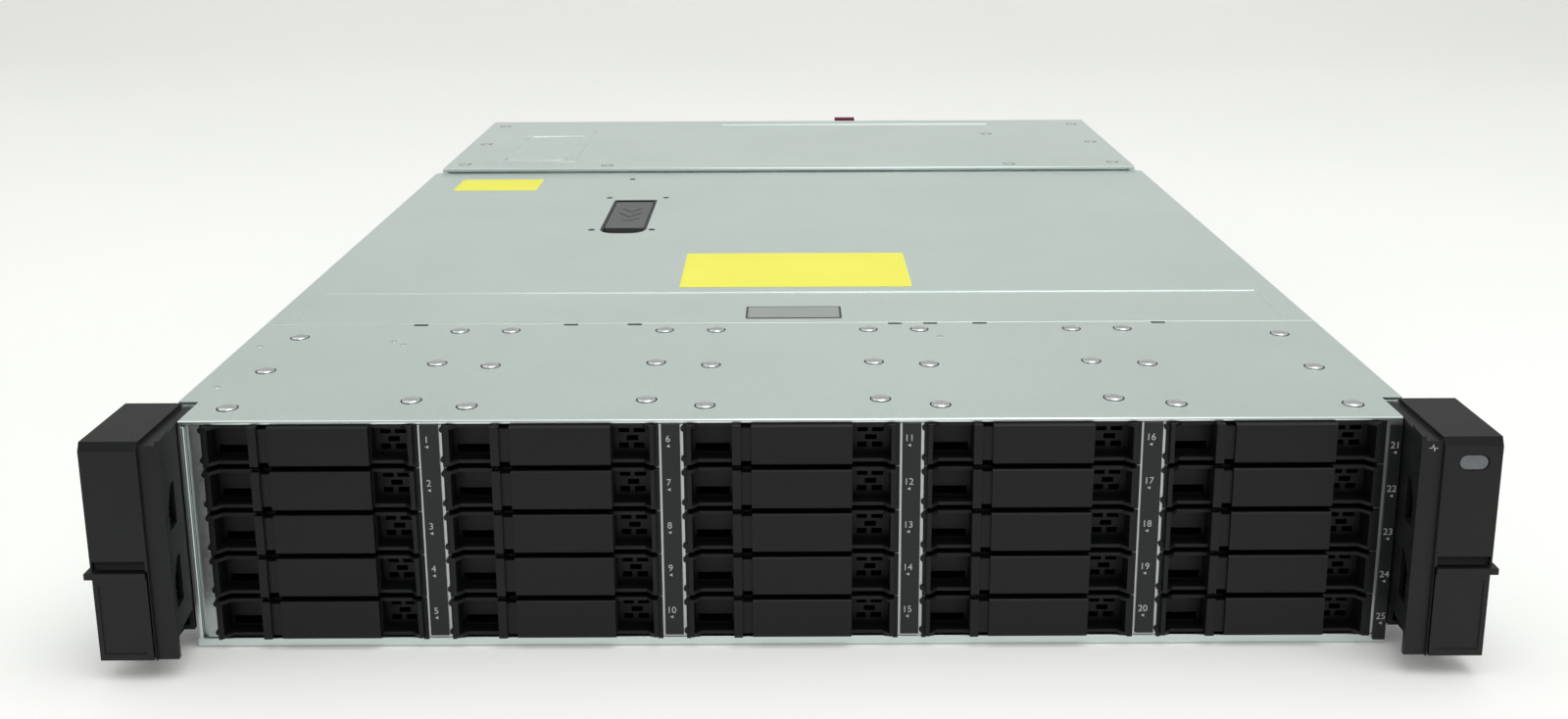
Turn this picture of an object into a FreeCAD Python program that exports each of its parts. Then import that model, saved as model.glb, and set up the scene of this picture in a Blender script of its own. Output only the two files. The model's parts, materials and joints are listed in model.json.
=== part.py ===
import FreeCAD, Part
import math
import os
import re

import Sketcher

# Two-unit rack disk shelf: twenty-five small drive bays in front, hot-swap modules behind.
# Millimetres. X runs to the right seen from the front, Y from the front plane to the rear, Z up.
# Each piece is drawn from the front plane and then placed so that the origin is under its middle.

os.makedirs("parts", exist_ok=True)
doc = FreeCAD.newDocument("disk_shelf")

COLUMNS = 5
ROWS = 5

driving_sizes = {
    # sheet metal
    "pan_gauge": 1.2,
    "cover_gauge": 1.0,
    "cage_gauge": 1.0,
    "slide_gap": 0.3,
    # drive bays
    "bay_width": 74.6,
    "bay_fit": 0.3,
    "row_pitch": 16.7,
    "row_gap": 2.0,
    "bay_floor": 4.3,
    "head_room": 1.6,
    "divider_width": 10.8,
    "left_flange": 8.8,
    "right_flange": 8,
    "cage_depth": 165,
    "rib_reach": 1.5,
    "rib_height": 0.8,
    "strip_inset": 2.1,
    "strip_thickness": 0.8,
    "strip_width": 6.6,
    "end_strip_width": 4.4,
    # outer shell
    "ear_seat": 7.5,
    "ear_notch": 19.7,
    "front_cover_depth": 111.6,
    "access_depth": 314.5,
    "rear_cover_depth": 173.9,
    "seam_gap": 0.4,
    "rear_raise": 2.6,
    "rear_inset": 3.9,
    "side_drop": 14,
    "panel_tuck": 4,
    "panel_travel": 12,
    # drive blanks
    "blank_proud": 2.5,
    "blank_length": 64,
    "face_depth": 14,
    "recess_depth": 8.5,
    "shelf_thickness": 1.3,
    "shelf_setback": 3,
    "edge_bar": 1.6,
    "edge_slope": 2.6,
    "finger_recess": 14.5,
    "latch_bar": 3.1,
    "step_strip": 3.7,
    "slab_width": 35.7,
    "slab_wall": 1.5,
    "slab_bevel": 0.5,
    "arm_thickness": 1.6,
    # access panel latch
    "latch_x": -89.1,
    "latch_front": 268,
    "latch_width": 24.8,
    "latch_length": 80,
    "latch_depth": 9,
    "scoop_length": 13,
    "cup_wall": 1.4,
    "handle_thickness": 2.2,
    "handle_fit": 0.3,
    "latch_pin_radius": 1.6,
    "pin_fit": 0.05,
    # boards
    "board_gauge": 2.4,
    "backplane_stand": 5,
    "bridge_height": 8,
    # rear modules
    "module_floor": 2.4,
    "module_height": 81.2,
    "module_fit": 0.5,
    "frame_gauge": 1,
    "supply_width": 40.2,
    "supply_length": 195,
    "fan_width": 83,
    "fan_length": 76,
    "fan_bore": 38,
    "rotor_radius": 36.5,
    "hub_radius": 15,
    "rotor_length": 24,
    "blade_reach": 7,
    "blade_gauge": 1.6,
    "spindle_radius": 2,
    "io_length": 207,
    "io_pivot_x": 85.5,
    "io_pin_radius": 1.5,
    "io_knuckle": 4,
    "io_paddle_x": 35.5,
    "paddle_width": 15,
    "paddle_reach": 27,
    "lower_paddle_height": 17.5,
    "upper_paddle_height": 21,
    "tab_reach": 22,
    "tab_offset": 15.6,
    "tab_height": 10,
    "tab_pin_radius": 1,
    # ears
    "ear_width": 24.8,
    "ear_reach": 22.7,
    "ear_back": 15.3,
    "ear_foot": 7.6,
    "ear_top": 88.6,
    "ear_chamfer": 3.0,
    "ear_chamfer_run": 1.5,
    "ear_step": 1.5,
    "ear_wall": 1.8,
    "ear_face": 19.8,
    "lever_top": 41.4,
    "lever_ledge": 2.4,
    "lever_wall": 1.8,
    "lever_depth": 11,
    "pivot_radius": 1.8,
    "bracket_gauge": 1.6,
    "rack_screw_span": 465.1,
    "rack_screw_z": 22,
    "rack_screw_radius": 2.5,
    "screw_head_radius": 4.6,
    "button_x": 231.7,
    "button_z": 79.7,
    "button_length": 9.8,
    "button_height": 5.2,
    "button_fit": 0.3,
}

worked_out_sizes = {
    "mouth_width": f"left_flange + right_flange + {COLUMNS} * bay_width"
                   f" + {COLUMNS - 1} * divider_width",
    "mouth_half": "mouth_width / 2",
    "body_half": "mouth_half + ear_seat",
    "body_height": f"bay_floor + {ROWS} * row_pitch - row_gap + head_room",
    "body_depth": "front_cover_depth + access_depth + rear_cover_depth",
    "bay_left": "left_flange - mouth_half",
    "bay_pitch": "bay_width + divider_width",
    "blank_width": "bay_width - 2 * bay_fit",
    "blank_height": "row_pitch - row_gap",
    "wall_outer": "body_half - cover_gauge - slide_gap",
    "wall_inner": "wall_outer - pan_gauge",
    "wall_flange": "wall_outer - mouth_half - 2 * slide_gap",
    "cover_under": "body_height - cover_gauge",
    "wall_top": "cover_under - slide_gap",
    "rear_top": "body_height + rear_raise",
    "rear_start": "front_cover_depth + access_depth",
    "latch_bar_x": "edge_bar + finger_recess",
    "step_x": "latch_bar_x + latch_bar",
    "slab_x": "step_x + step_strip",
    "vent_x": "slab_x + slab_width",
    "vent_end": "blank_width - edge_bar",
    "module_start": "body_depth - supply_length",
    "backplane_y": "body_depth - max(io_length; supply_length) - backplane_stand",
    "module_top": "module_floor + module_height",
    "supply_x": "wall_inner - module_fit - supply_width",
    "frame_outer_x": "supply_x - module_fit - frame_gauge",
    "fan_x": "frame_outer_x - module_fit - fan_width",
    "frame_inner_x": "fan_x - module_fit - frame_gauge",
    "tab_floor": "module_floor + 28",
    "tab_pivot_y": "body_depth + 3",
    "io_half": "frame_inner_x - module_fit",
    "io_height": "(module_height - frame_gauge - 2 * slide_gap) / 2",
    "io_upper_z": "module_top - io_height",
    "io_pivot_y": "body_depth + 4",
    "fan_axis_x": "fan_x + fan_width / 2",
    "module_axis_z": "module_floor + module_height / 2",
    "ear_outer": "mouth_half + ear_width",
    "ear_face_x": "ear_outer - ear_face",
    "screw_x": "rack_screw_span / 2",
    "lever_pivot_y": "6 - ear_reach",
    "lever_pivot_z": "ear_foot + 5.5",
}

sheet = doc.addObject("Spreadsheet::Sheet", "sizes")
for row, (name, size) in enumerate({**driving_sizes, **worked_out_sizes}.items(), start=1):
    sheet.set(f"A{row}", name)
    sheet.set(f"B{row}", f"={size}" if name in worked_out_sizes else str(size))
    sheet.setAlias(f"B{row}", name)
doc.recompute()
size_names = set(driving_sizes) | set(worked_out_sizes)


def in_sheet(formula):
    """Turn plain size names in a formula into references to the sheet."""
    return re.sub(r"[a-z_]+", lambda word: f"sizes.{word[0]}" if word[0] in size_names
                  else word[0], formula)


def value(formula):
    """Work a formula out now, with the sizes that the sheet holds."""
    known = {name: float(sheet.get(name)) for name in size_names if name in formula}
    total = sheet.evalExpression(in_sheet(formula)) if known else FreeCAD.Units.Quantity(
        formula).Value
    return float(getattr(total, "Value", total))


def bind(item, prop, formula):
    item.setExpression(prop, in_sheet(formula))


def place(item, x="0", y="0", z="0"):
    for letter, formula in zip("xyz", (x, y, z)):
        if formula != "0":
            bind(item, f"Placement.Base.{letter}", formula)


# ---- sketched pieces -------------------------------------------------------------------------

PLANES = {"XY": ("XY_Plane", 1), "XZ": ("XZ_Plane", -1), "YZ": ("YZ_Plane", 1)}


def new_body(label):
    body = doc.addObject("PartDesign::Body", label)
    body.Label = label
    return body


def hold(sketch, held):
    """Add (kind, geometry, point, formula) distances from the origin in one go, and bind them."""
    start = sketch.ConstraintCount
    sketch.addConstraint([Sketcher.Constraint(kind, -1, 1, index, point, value(formula))
                          for kind, index, point, formula in held])
    for offset, (_, _, _, formula) in enumerate(held):
        bind(sketch, f"Constraints[{start + offset}]", formula)


def add_outline(sketch, outline):
    """Closed polygon of (across, up) formulas, each corner held from the origin."""
    corners = [FreeCAD.Vector(value(across), value(up), 0) for across, up in outline]
    first = sketch.GeometryCount
    count = len(corners)
    sketch.addGeometry([Part.LineSegment(corners[index], corners[(index + 1) % count])
                        for index in range(count)], False)
    sketch.addConstraint([Sketcher.Constraint("Coincident", first + index, 2,
                                              first + (index + 1) % count, 1)
                          for index in range(count)])
    hold(sketch, [(kind, first + index, 1, formula) for index, corner in enumerate(outline)
                  for kind, formula in zip(("DistanceX", "DistanceY"), corner)])


def add_circle(sketch, across, up, radius):
    centre = FreeCAD.Vector(value(across), value(up), 0)
    circle = Part.Circle(centre, FreeCAD.Vector(0, 0, 1), value(radius))
    index = sketch.addGeometry(circle, False)
    hold(sketch, [("DistanceX", index, 3, across), ("DistanceY", index, 3, up)])
    constraint = sketch.addConstraint(Sketcher.Constraint("Radius", index, value(radius)))
    bind(sketch, f"Constraints[{constraint}]", radius)


def new_sketch(body, plane, offset, outlines):
    role, normal = PLANES[plane]
    sketch = body.newObject("Sketcher::SketchObject", f"{body.Label}_sketch")
    origin_plane = [item for item in body.Origin.OriginFeatures if item.Role == role][0]
    sketch.AttachmentSupport = (origin_plane, [""])
    sketch.MapMode = "FlatFace"
    if offset != "0":
        bind(sketch, "AttachmentOffset.Base.z", offset if normal > 0 else f"-({offset})")
    for outline in outlines:
        if outline[0] == "circle":
            add_circle(sketch, *outline[1:])
        else:
            add_outline(sketch, outline)
    return sketch


def pad(body, plane, offset, outlines, length):
    """Pad towards plus X, Y or Z from the plane at the given offset."""
    sketch = new_sketch(body, plane, offset, outlines)
    feature = body.newObject("PartDesign::Pad", f"{body.Label}_pad")
    feature.Profile = sketch
    feature.Reversed = PLANES[plane][1] < 0
    bind(feature, "Length", length)
    return feature


def pocket(body, plane, offset, outlines, length):
    """Cut towards plus X, Y or Z from the plane at the given offset."""
    sketch = new_sketch(body, plane, offset, outlines)
    feature = body.newObject("PartDesign::Pocket", f"{body.Label}_pocket")
    feature.Profile = sketch
    feature.Reversed = PLANES[plane][1] > 0
    bind(feature, "Length", length)
    return feature


def soften(body, kind, radius, wanted):
    """Fillet or chamfer the edges whose middle and length pass the test."""
    doc.recompute()
    base = body.Tip
    names = []
    for index, edge in enumerate(base.Shape.Edges, start=1):
        middle = edge.valueAt((edge.FirstParameter + edge.LastParameter) / 2)
        if wanted(middle, edge):
            names.append(f"Edge{index}")
    feature = body.newObject(f"PartDesign::{kind}", f"{body.Label}_{kind}")
    feature.Base = (base, names)
    bind(feature, "Radius" if kind == "Fillet" else "Size", radius)
    return feature


def rectangle(left, low, right, high):
    return [(left, low), (right, low), (right, high), (left, high)]


def round_of(across, up, radius, sides):
    """Regular polygon for a standoff, a hub or a seat, flat side to the right."""
    turns = [math.radians(360 * (index + 0.5) / sides) for index in range(sides)]
    return [(f"{across} + ({radius}) * {math.cos(turn):.5f}",
             f"{up} + ({radius}) * {math.sin(turn):.5f}") for turn in turns]


# ---- pieces from primitives ------------------------------------------------------------------

def box(name, left, front, low, length, depth, height):
    item = doc.addObject("Part::Box", name)
    for prop, formula in (("Length", length), ("Width", depth), ("Height", height)):
        bind(item, prop, formula)
    place(item, left, front, low)
    return item


def group(label, items):
    item = doc.addObject("Part::Compound", label)
    item.Links = items
    item.Label = label
    return item


nodes = []


def finish(item):
    """Set a piece back by half the depth, so that the origin is under the shelf's middle."""
    bind(item, "Placement.Base.y", "-body_depth / 2")
    nodes.append(item)
    return item


# ---- chassis ---------------------------------------------------------------------------------

def base_pan():
    """Floor and both side walls in one folded sheet, with flanges that carry the covers."""
    body = new_body("base_pan")
    right = [("wall_outer", "0"), ("wall_outer", "wall_top"),
             ("wall_outer - wall_flange", "wall_top"),
             ("wall_outer - wall_flange", "wall_top - pan_gauge"),
             ("wall_inner", "wall_top - pan_gauge"), ("wall_inner", "pan_gauge")]
    left = [(f"-({across})", up) for across, up in reversed(right)]
    pad(body, "XZ", "ear_notch", [right + left], "body_depth - ear_notch")
    pad(body, "XY", "0", [rectangle("-mouth_half", "0", "mouth_half", "ear_notch + 1")],
        "pan_gauge")
    pad(body, "XZ", "0", [rectangle("-mouth_half", "0", "mouth_half", "bay_floor - 0.8")],
        "pan_gauge")
    soften(body, "Fillet", "pan_gauge * 0.7", lambda middle, edge: abs(middle.y) < 0.01
           and edge.Length > 100 and middle.z < value("pan_gauge"))
    bosses = [round_of(f"{side} * 120", along, "3.2", 6) for side in (-1, 1)
              for along in ("cage_depth + board_gauge + 25", "backplane_y - 30")]
    pad(body, "XY", "pan_gauge / 2", bosses, "bridge_height - pan_gauge / 2")
    return body


def front_cover():
    """Riveted lid of the drive cage: lip over the bays, sides outside the pan."""
    body = new_body("front_cover")
    rear = "front_cover_depth - seam_gap"
    right = [("mouth_half", "0"), ("mouth_half", "ear_notch"), ("body_half", "ear_notch"),
             ("body_half", rear)]
    left = [(f"-({across})", up) for across, up in reversed(right)]
    pad(body, "XY", "cover_under", [right + left], "cover_gauge")
    sides = [rectangle(f"{side} * body_half", "ear_notch",
                       f"{side} * (body_half - cover_gauge)", rear) for side in (-1, 1)]
    pad(body, "XY", "body_height - side_drop", sides, "side_drop - cover_gauge / 2")
    pad(body, "XZ", "0", [rectangle("-mouth_half", "body_height - head_room + slide_gap",
                                    "mouth_half", "body_height")], "cover_gauge")
    soften(body, "Fillet", "cover_gauge * 0.8", lambda middle, edge: abs(middle.y) < 0.01
           and edge.Length > 100 and middle.z > value("body_height") - 0.01)
    hooks = [rectangle(f"{x} - 3", f"{rear} - 2.2", f"{x} + 3", f"{rear} + 1")
             for x in (-157, -93, -66, 45, 60, 81, 157)]
    pocket(body, "XY", "cover_under - 1", hooks, "cover_gauge + 2")
    return body


def rear_cover():
    """Raised lid over the rear modules, with a hemmed front lip, a bead loop and a groove."""
    body = new_body("rear_cover")
    edge = "body_half - rear_inset"
    rear = "body_depth"
    pad(body, "XY", "rear_top - cover_gauge",
        [rectangle(f"-({edge})", "rear_start", edge, rear)], "cover_gauge")
    clear = "rear_start + panel_travel + seam_gap"
    skirts = [rectangle(f"{side} * ({edge})", clear, f"{side} * ({edge} - cover_gauge)", rear)
              for side in (-1, 1)]
    pad(body, "XY", "wall_top", skirts, "rear_top - wall_top - cover_gauge / 2")
    hem_low = "body_height + 2 * slide_gap"
    pad(body, "XZ", "rear_start", [rectangle(f"-({edge})", hem_low, edge, "rear_top")], "3")
    lip = "wall_outer - wall_flange - slide_gap"
    pad(body, "XZ", "body_depth - cover_gauge",
        [rectangle(f"-({lip})", "module_top + module_fit", lip, "rear_top")], "cover_gauge")
    soften(body, "Fillet", "cover_gauge * 0.8", lambda middle, edge: edge.Length > 100
           and middle.z > value("rear_top") - 0.01
           and min(abs(middle.y - value("rear_start")), abs(middle.y - value("body_depth")))
           < 0.01)
    groove = rectangle("-49", "body_depth - 22", "147", "body_depth - 15")
    pocket(body, "XY", "rear_top - cover_gauge / 2", [groove], "cover_gauge")
    bead = [rectangle("-199", "rear_start + 20", "-139", "rear_start + 132"),
            rectangle("-185.5", "rear_start + 24", "-145", "rear_start + 112")]
    pad(body, "XY", "rear_top - cover_gauge / 2", bead, "cover_gauge / 2 + 0.7")
    return body


def cage_wall(name, left, width, stepped, ribs_left, ribs_right):
    """Folded hat section between two columns of bays: front web, two sheets, guide ribs."""
    body = new_body(name)
    right = f"{left} + {width}"
    outline = [(right, "cage_depth"), (f"{right} - cage_gauge", "cage_depth"),
               (f"{right} - cage_gauge", "cage_gauge + 0.4" if stepped else "cage_gauge")]
    if stepped:
        outline += [(f"{right} - 4.9 + cage_gauge", "cage_gauge + 0.4"),
                    (f"{right} - 4.9 + cage_gauge", "2 + cage_gauge")]
        outline += [(f"{left} + cage_gauge", "2 + cage_gauge")]
    else:
        outline += [(f"{left} + cage_gauge", "cage_gauge")]
    outline += [(f"{left} + cage_gauge", "cage_depth"), (left, "cage_depth"), (left, "0")]
    if stepped:
        outline += [(f"{left} + cage_gauge", "0"), (f"{left} + cage_gauge", "2"),
                    (f"{right} - 4.9", "2"), (f"{right} - 4.9", "0.4"), (right, "0.4")]
    else:
        outline += [(right, "0")]
    pad(body, "XY", "pan_gauge", [outline], "cover_under - pan_gauge")
    lips = [rectangle(f"{left} - 1", "0", f"{right} + 1", "bay_floor - 0.5"),
            rectangle(f"{left} - 1", "body_height - head_room", f"{right} + 1",
                      "cover_under + 1")]
    pocket(body, "XZ", "-1", lips, "pan_gauge + slide_gap + 1")
    ribs = []
    for row in range(ROWS):
        high = f"bay_floor + {row} * row_pitch - slide_gap"
        if ribs_left:
            ribs.append(rectangle(f"{left} - rib_reach", f"{high} - rib_height",
                                  f"{left} + cage_gauge / 2", high))
        if ribs_right:
            ribs.append(rectangle(f"{right} - cage_gauge / 2", f"{high} - rib_height",
                                  f"{right} + rib_reach", high))
    pad(body, "XZ", "face_depth", ribs, "cage_depth - face_depth - 20")
    flanges = []
    if ribs_left:
        flanges.append(rectangle(f"{left} - 9", "cover_under - 0.8",
                                 f"{left} + cage_gauge / 2", "cover_under"))
    if ribs_right:
        flanges.append(rectangle(f"{right} - cage_gauge / 2", "cover_under - 0.8",
                                 f"{right} + 9", "cover_under"))
    pad(body, "XZ", "face_depth + 0.5", flanges, "front_cover_depth - face_depth - 2.5")
    return body


def divider_left(index):
    return f"bay_left + {index} * bay_width + {index - 1} * divider_width"


def cage_walls():
    walls = [cage_wall("left_cage_wall", "-mouth_half", "left_flange", True, False, True)]
    for index in range(1, COLUMNS):
        walls.append(cage_wall(f"cage_divider_{index}", divider_left(index), "divider_width",
                               False, True, True))
    walls.append(cage_wall("right_cage_wall", "mouth_half - right_flange", "right_flange",
                           False, True, False))
    return group("cage_walls", walls)


def bay_label_strips():
    """Black strips on the cage webs that carry the bay numbers."""
    strips = []
    for index in range(1, COLUMNS):
        strips.append(box(f"label_strip_{index}", f"{divider_left(index)} + strip_inset",
                          "-strip_thickness", "bay_floor + 0.4", "strip_width",
                          "strip_thickness", f"{ROWS} * row_pitch - row_gap - 0.4"))
    strips.append(box("label_strip_end", "mouth_half - 0.2 - end_strip_width",
                      "-strip_thickness", "pan_gauge + 0.4", "end_strip_width",
                      "strip_thickness", "body_height - head_room - pan_gauge - 1.6"))
    return group("bay_label_strips", strips)


# ---- drive blanks ----------------------------------------------------------------------------

def drive_blank(label):
    """Moulded filler: flat slab, finger recess, latch bar, vented recess and two side arms."""
    body = new_body(label)
    plan = [("0", "0.4"), ("edge_bar", "0.4"), ("edge_bar + edge_slope", "shelf_setback"),
            ("latch_bar_x", "shelf_setback"), ("latch_bar_x", "0"), ("step_x", "0"),
            ("step_x", "1.1"), ("slab_x", "1.1"), ("slab_x", "0"), ("vent_x", "0"),
            ("vent_x", "shelf_setback"), ("vent_end - edge_slope", "shelf_setback"),
            ("vent_end", "0.4"), ("blank_width", "0.4"), ("blank_width", "face_depth"),
            ("0", "face_depth")]
    pad(body, "XY", "0", [plan], "blank_height")
    soften(body, "Chamfer", "slab_bevel", lambda middle, edge: abs(middle.y) < 0.01
           and abs(middle.x - value("(slab_x + vent_x) / 2")) < 0.01)
    recesses = [rectangle("edge_bar", "shelf_thickness", "latch_bar_x",
                          "blank_height - shelf_thickness"),
                rectangle("vent_x + 0.2", "shelf_thickness", "vent_end",
                          "blank_height - shelf_thickness")]
    pocket(body, "XZ", "0", recesses, "recess_depth")
    steps = [rectangle("step_x", "-1", "slab_x", "1.2"),
             rectangle("step_x", "blank_height - 1.2", "slab_x", "blank_height + 1")]
    pocket(body, "XZ", "0", steps, "4")
    slot = rectangle("vent_x + 4.9", "blank_height * 0.42", "vent_x + 9", "blank_height * 0.55")
    pocket(body, "XZ", "0", [slot], "face_depth + 1")
    hollow = rectangle("step_x + slab_wall", "slab_wall", "vent_x - slab_wall",
                       "blank_height - slab_wall")
    pocket(body, "XZ", "slab_wall + slab_bevel", [hollow], "face_depth")
    arms = [rectangle("0.2", "1", "0.2 + arm_thickness", "blank_height - 1"),
            rectangle("blank_width - 0.2 - arm_thickness", "1", "blank_width - 0.2",
                      "blank_height - 1")]
    pad(body, "XZ", "face_depth - 0.5", arms, "blank_length - face_depth + 0.5")
    return body


def blank_place(item, index):
    column, row = divmod(index, ROWS)
    bind(item, "Placement.Base.x", f"bay_left + bay_fit + {column} * bay_pitch")
    bind(item, "Placement.Base.y", "-blank_proud - body_depth / 2")
    bind(item, "Placement.Base.z", f"bay_floor + {ROWS - 1 - row} * row_pitch")
    nodes.append(item)


def drive_blanks():
    """One moulding, then its copies: bays count down each column from the left."""
    first = drive_blank("drive_blank_01")
    doc.recompute()
    moulding = first.Shape.copy()
    moulding.Placement = FreeCAD.Placement()
    blank_place(first, 0)
    for index in range(1, COLUMNS * ROWS):
        label = f"drive_blank_{index + 1:02d}"
        copy = doc.addObject("Part::Feature", label)
        copy.Shape = moulding.copy()
        copy.Label = label
        blank_place(copy, index)


# ---- access panel and latch --------------------------------------------------------------------

def access_panel():
    """Sliding lid behind the cage: tucks under the rear lid, with a pressed band in front."""
    body = new_body("access_panel")
    front = "front_cover_depth"
    rear = "rear_start - seam_gap"
    pad(body, "XY", "cover_under",
        [[("-body_half", front), ("body_half", front), ("body_half", rear),
          ("wall_inner - 6", rear), ("wall_inner - 6", "rear_start + panel_tuck"),
          ("6 - wall_inner", "rear_start + panel_tuck"), ("6 - wall_inner", rear),
          ("-body_half", rear)]], "cover_gauge")
    sides = [rectangle(f"{side} * body_half", front, f"{side} * (body_half - cover_gauge)",
                       rear) for side in (-1, 1)]
    pad(body, "XY", "body_height - side_drop", sides, "side_drop - cover_gauge / 2")
    band = rectangle("-213", f"{front} + 3", "213", "158")
    pocket(body, "XY", "body_height - 0.4", [band], "1")
    hole = rectangle("latch_x - latch_width / 2", "latch_front", "latch_x + latch_width / 2",
                     "latch_front + latch_length")
    pocket(body, "XY", "cover_under - 1", [hole], "cover_gauge + 2")
    slots = [rectangle(f"{x} - 1.6", f"{y} - 0.7", f"{x} + 1.6", f"{y} + 0.7")
             for x, y in ((f"latch_x {across}", f"latch_front {along}") for across, along in
                          (("- 17", "+ 85"), ("+ 16", "+ 85"), ("- 17", "+ 7"),
                           ("+ 16", "+ 7"), ("- 8", "+ 137")))]
    pocket(body, "XY", "cover_under - 1", slots, "cover_gauge + 2")
    return body


def latch_cup():
    """Plastic tray under the panel, with the finger scoop and the handle's pivot holes."""
    body = new_body("latch_cup")
    left = "latch_x - latch_width / 2 + 0.1"
    right = "latch_x + latch_width / 2 - 0.1"
    front = "latch_front + 0.1"
    rear = "latch_front + latch_length - 0.1"
    low = "cover_under - latch_depth"
    pad(body, "XY", low, [rectangle(left, front, right, rear)], "body_height - cover_under"
        " + latch_depth - 0.2")
    pad(body, "XY", "cover_under - 1.5",
        [rectangle(f"{left} - 3", f"{front} - 3", f"{right} + 3", f"{rear} + 3")], "1.5")
    inside = rectangle(f"{left} + cup_wall", f"{front} + cup_wall", f"{right} - cup_wall",
                       f"{rear} - cup_wall")
    pocket(body, "XY", f"{low} + cup_wall", [inside], "latch_depth + 5")
    pivot = ("circle", "latch_front + latch_length - 5", "body_height - 3",
             "latch_pin_radius + pin_fit")
    pocket(body, "YZ", "latch_x - latch_width", [pivot], "2 * latch_width")
    return body


def latch_handle():
    """Flush lift-up plate with a cross pin, two cheeks and a cam that draws the panel back."""
    body = new_body("latch_handle")
    inner = "latch_width / 2 - cup_wall - 0.1 - handle_fit"
    front = "latch_front + scoop_length"
    rear = "latch_front + latch_length - cup_wall - 0.1 - handle_fit"
    high = "body_height - 0.3"
    pad(body, "XY", f"{high} - handle_thickness",
        [rectangle(f"latch_x - ({inner})", front, f"latch_x + {inner}",
                   "latch_front + latch_length - 5")], "handle_thickness")
    axis_y = "latch_front + latch_length - 5"
    axis_z = "body_height - 3"
    barrel = round_of(axis_y, axis_z, "2.7", 8)
    pad(body, "YZ", f"latch_x - ({inner})", [barrel], f"2 * ({inner})")
    pin = ("circle", axis_y, axis_z, "latch_pin_radius")
    pad(body, "YZ", "latch_x - latch_width / 2 + 0.2", [pin], "latch_width - 0.4")
    cam = [(f"{axis_y} - 7", f"{axis_z} - 0.5"), (axis_y, f"{axis_z} - 0.5"),
           (axis_y, f"{axis_z} - 2.4"), (f"{axis_y} - 4", f"{axis_z} - 4.6")]
    pad(body, "YZ", "latch_x - 4", [cam], "8")
    grip = rectangle(f"latch_x - ({inner}) + 3", f"{high} - handle_thickness - 1.2",
                     f"latch_x + {inner} - 3", f"{high} - handle_thickness / 2")
    pad(body, "XZ", front, [grip], "1.4")
    return body


# ---- boards inside -------------------------------------------------------------------------------

def midplane_board():
    """Board behind the bays, with a row of air slots between the connectors."""
    body = new_body("midplane_board")
    pad(body, "XZ", "cage_depth", [rectangle("-mouth_half + 1", "pan_gauge", "mouth_half - 1",
                                             "cover_under - 2")], "board_gauge")
    slots = []
    for column in range(COLUMNS):
        left = f"bay_left + {column} * bay_pitch"
        for row in (1, 3):
            high = f"bay_floor + {row} * row_pitch - row_gap / 2"
            slots.append(rectangle(f"{left} + 8", f"{high} - 2.5", f"{left} + bay_width - 8",
                                   f"{high} + 2.5"))
    pocket(body, "XZ", "cage_depth - 1", slots, "board_gauge + 2")
    return body


def drive_connectors():
    plugs = []
    for index in range(COLUMNS * ROWS):
        column, row = divmod(index, ROWS)
        plugs.append(box(f"drive_connector_{index + 1}",
                         f"bay_left + {column} * bay_pitch + bay_width / 2 - 21",
                         "cage_depth - 9", f"bay_floor + {ROWS - 1 - row} * row_pitch + 4.3",
                         "42", "9", "6.2"))
    return group("drive_connectors", plugs)


def module_backplane():
    """Upright board that the rear modules plug into, open in front of both fans."""
    body = new_body("module_backplane")
    pad(body, "XZ", "backplane_y", [rectangle("-wall_inner + 1", "pan_gauge", "wall_inner - 1",
                                              "module_top")], "board_gauge")
    windows = [rectangle(f"{side} * fan_axis_x - fan_bore", "module_axis_z - fan_bore + 6",
                         f"{side} * fan_axis_x + fan_bore", "module_axis_z + fan_bore - 6")
               for side in (-1, 1)]
    pocket(body, "XZ", "backplane_y - 1", windows, "board_gauge + 2")
    return body


def module_sockets():
    """Sockets on the backplane: two for the supplies, two for the input and output modules."""
    back = "backplane_y + board_gauge"
    supply_gap = "module_start - backplane_y - board_gauge - slide_gap"
    io_gap = "body_depth - io_length - backplane_y - board_gauge - slide_gap"
    sockets = [box(f"supply_socket_{side + 2}",
                   f"{side} * (supply_x + supply_width / 2) - 14", back, "module_axis_z - 5",
                   "28", supply_gap, "10") for side in (-1, 1)]
    sockets += [box(f"io_socket_{index}", "-45", back, f"{low} + io_height / 2 - 5", "90",
                    io_gap, "10")
                for index, low in enumerate(("module_floor", "io_upper_z"))]
    return group("module_sockets", sockets)


def bridge_board():
    """Flat board on the pan's bosses that joins the midplane to the backplane."""
    body = new_body("bridge_board")
    front = "cage_depth + board_gauge"
    pad(body, "XY", "bridge_height", [rectangle("-150", front, "150", "backplane_y")],
        "board_gauge")
    return body


# ---- rear modules ----------------------------------------------------------------------------------

def rear_module_frame():
    """Upright sheets between the rear modules, a shelf between the two wide ones, and ties."""
    body = new_body("rear_module_frame")
    front = "backplane_y + board_gauge + 2"
    sheets = []
    for side in (-1, 1):
        for start in ("frame_inner_x", "frame_outer_x"):
            sheets.append(rectangle(f"{side} * {start}", front,
                                    f"{side} * ({start} + frame_gauge)", "body_depth - 2"))
    pad(body, "XY", "pan_gauge", sheets, "module_top + module_fit + 0.8 - pan_gauge")
    ties = [rectangle("-wall_inner + 0.3", "pan_gauge", "wall_inner - 0.3",
                      "module_floor - slide_gap"),
            rectangle("-wall_inner + 0.3", "module_top + module_fit", "wall_inner - 0.3",
                      "module_top + module_fit + 0.8")]
    pad(body, "XZ", "body_depth - 40", ties, "38")
    shelf_low = "module_floor + io_height + slide_gap"
    shelf = rectangle("-frame_inner_x - frame_gauge / 2", shelf_low,
                      "frame_inner_x + frame_gauge / 2", f"{shelf_low} + frame_gauge")
    pad(body, "XZ", front, [shelf], f"body_depth - 2 - ({front})")
    return body


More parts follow.
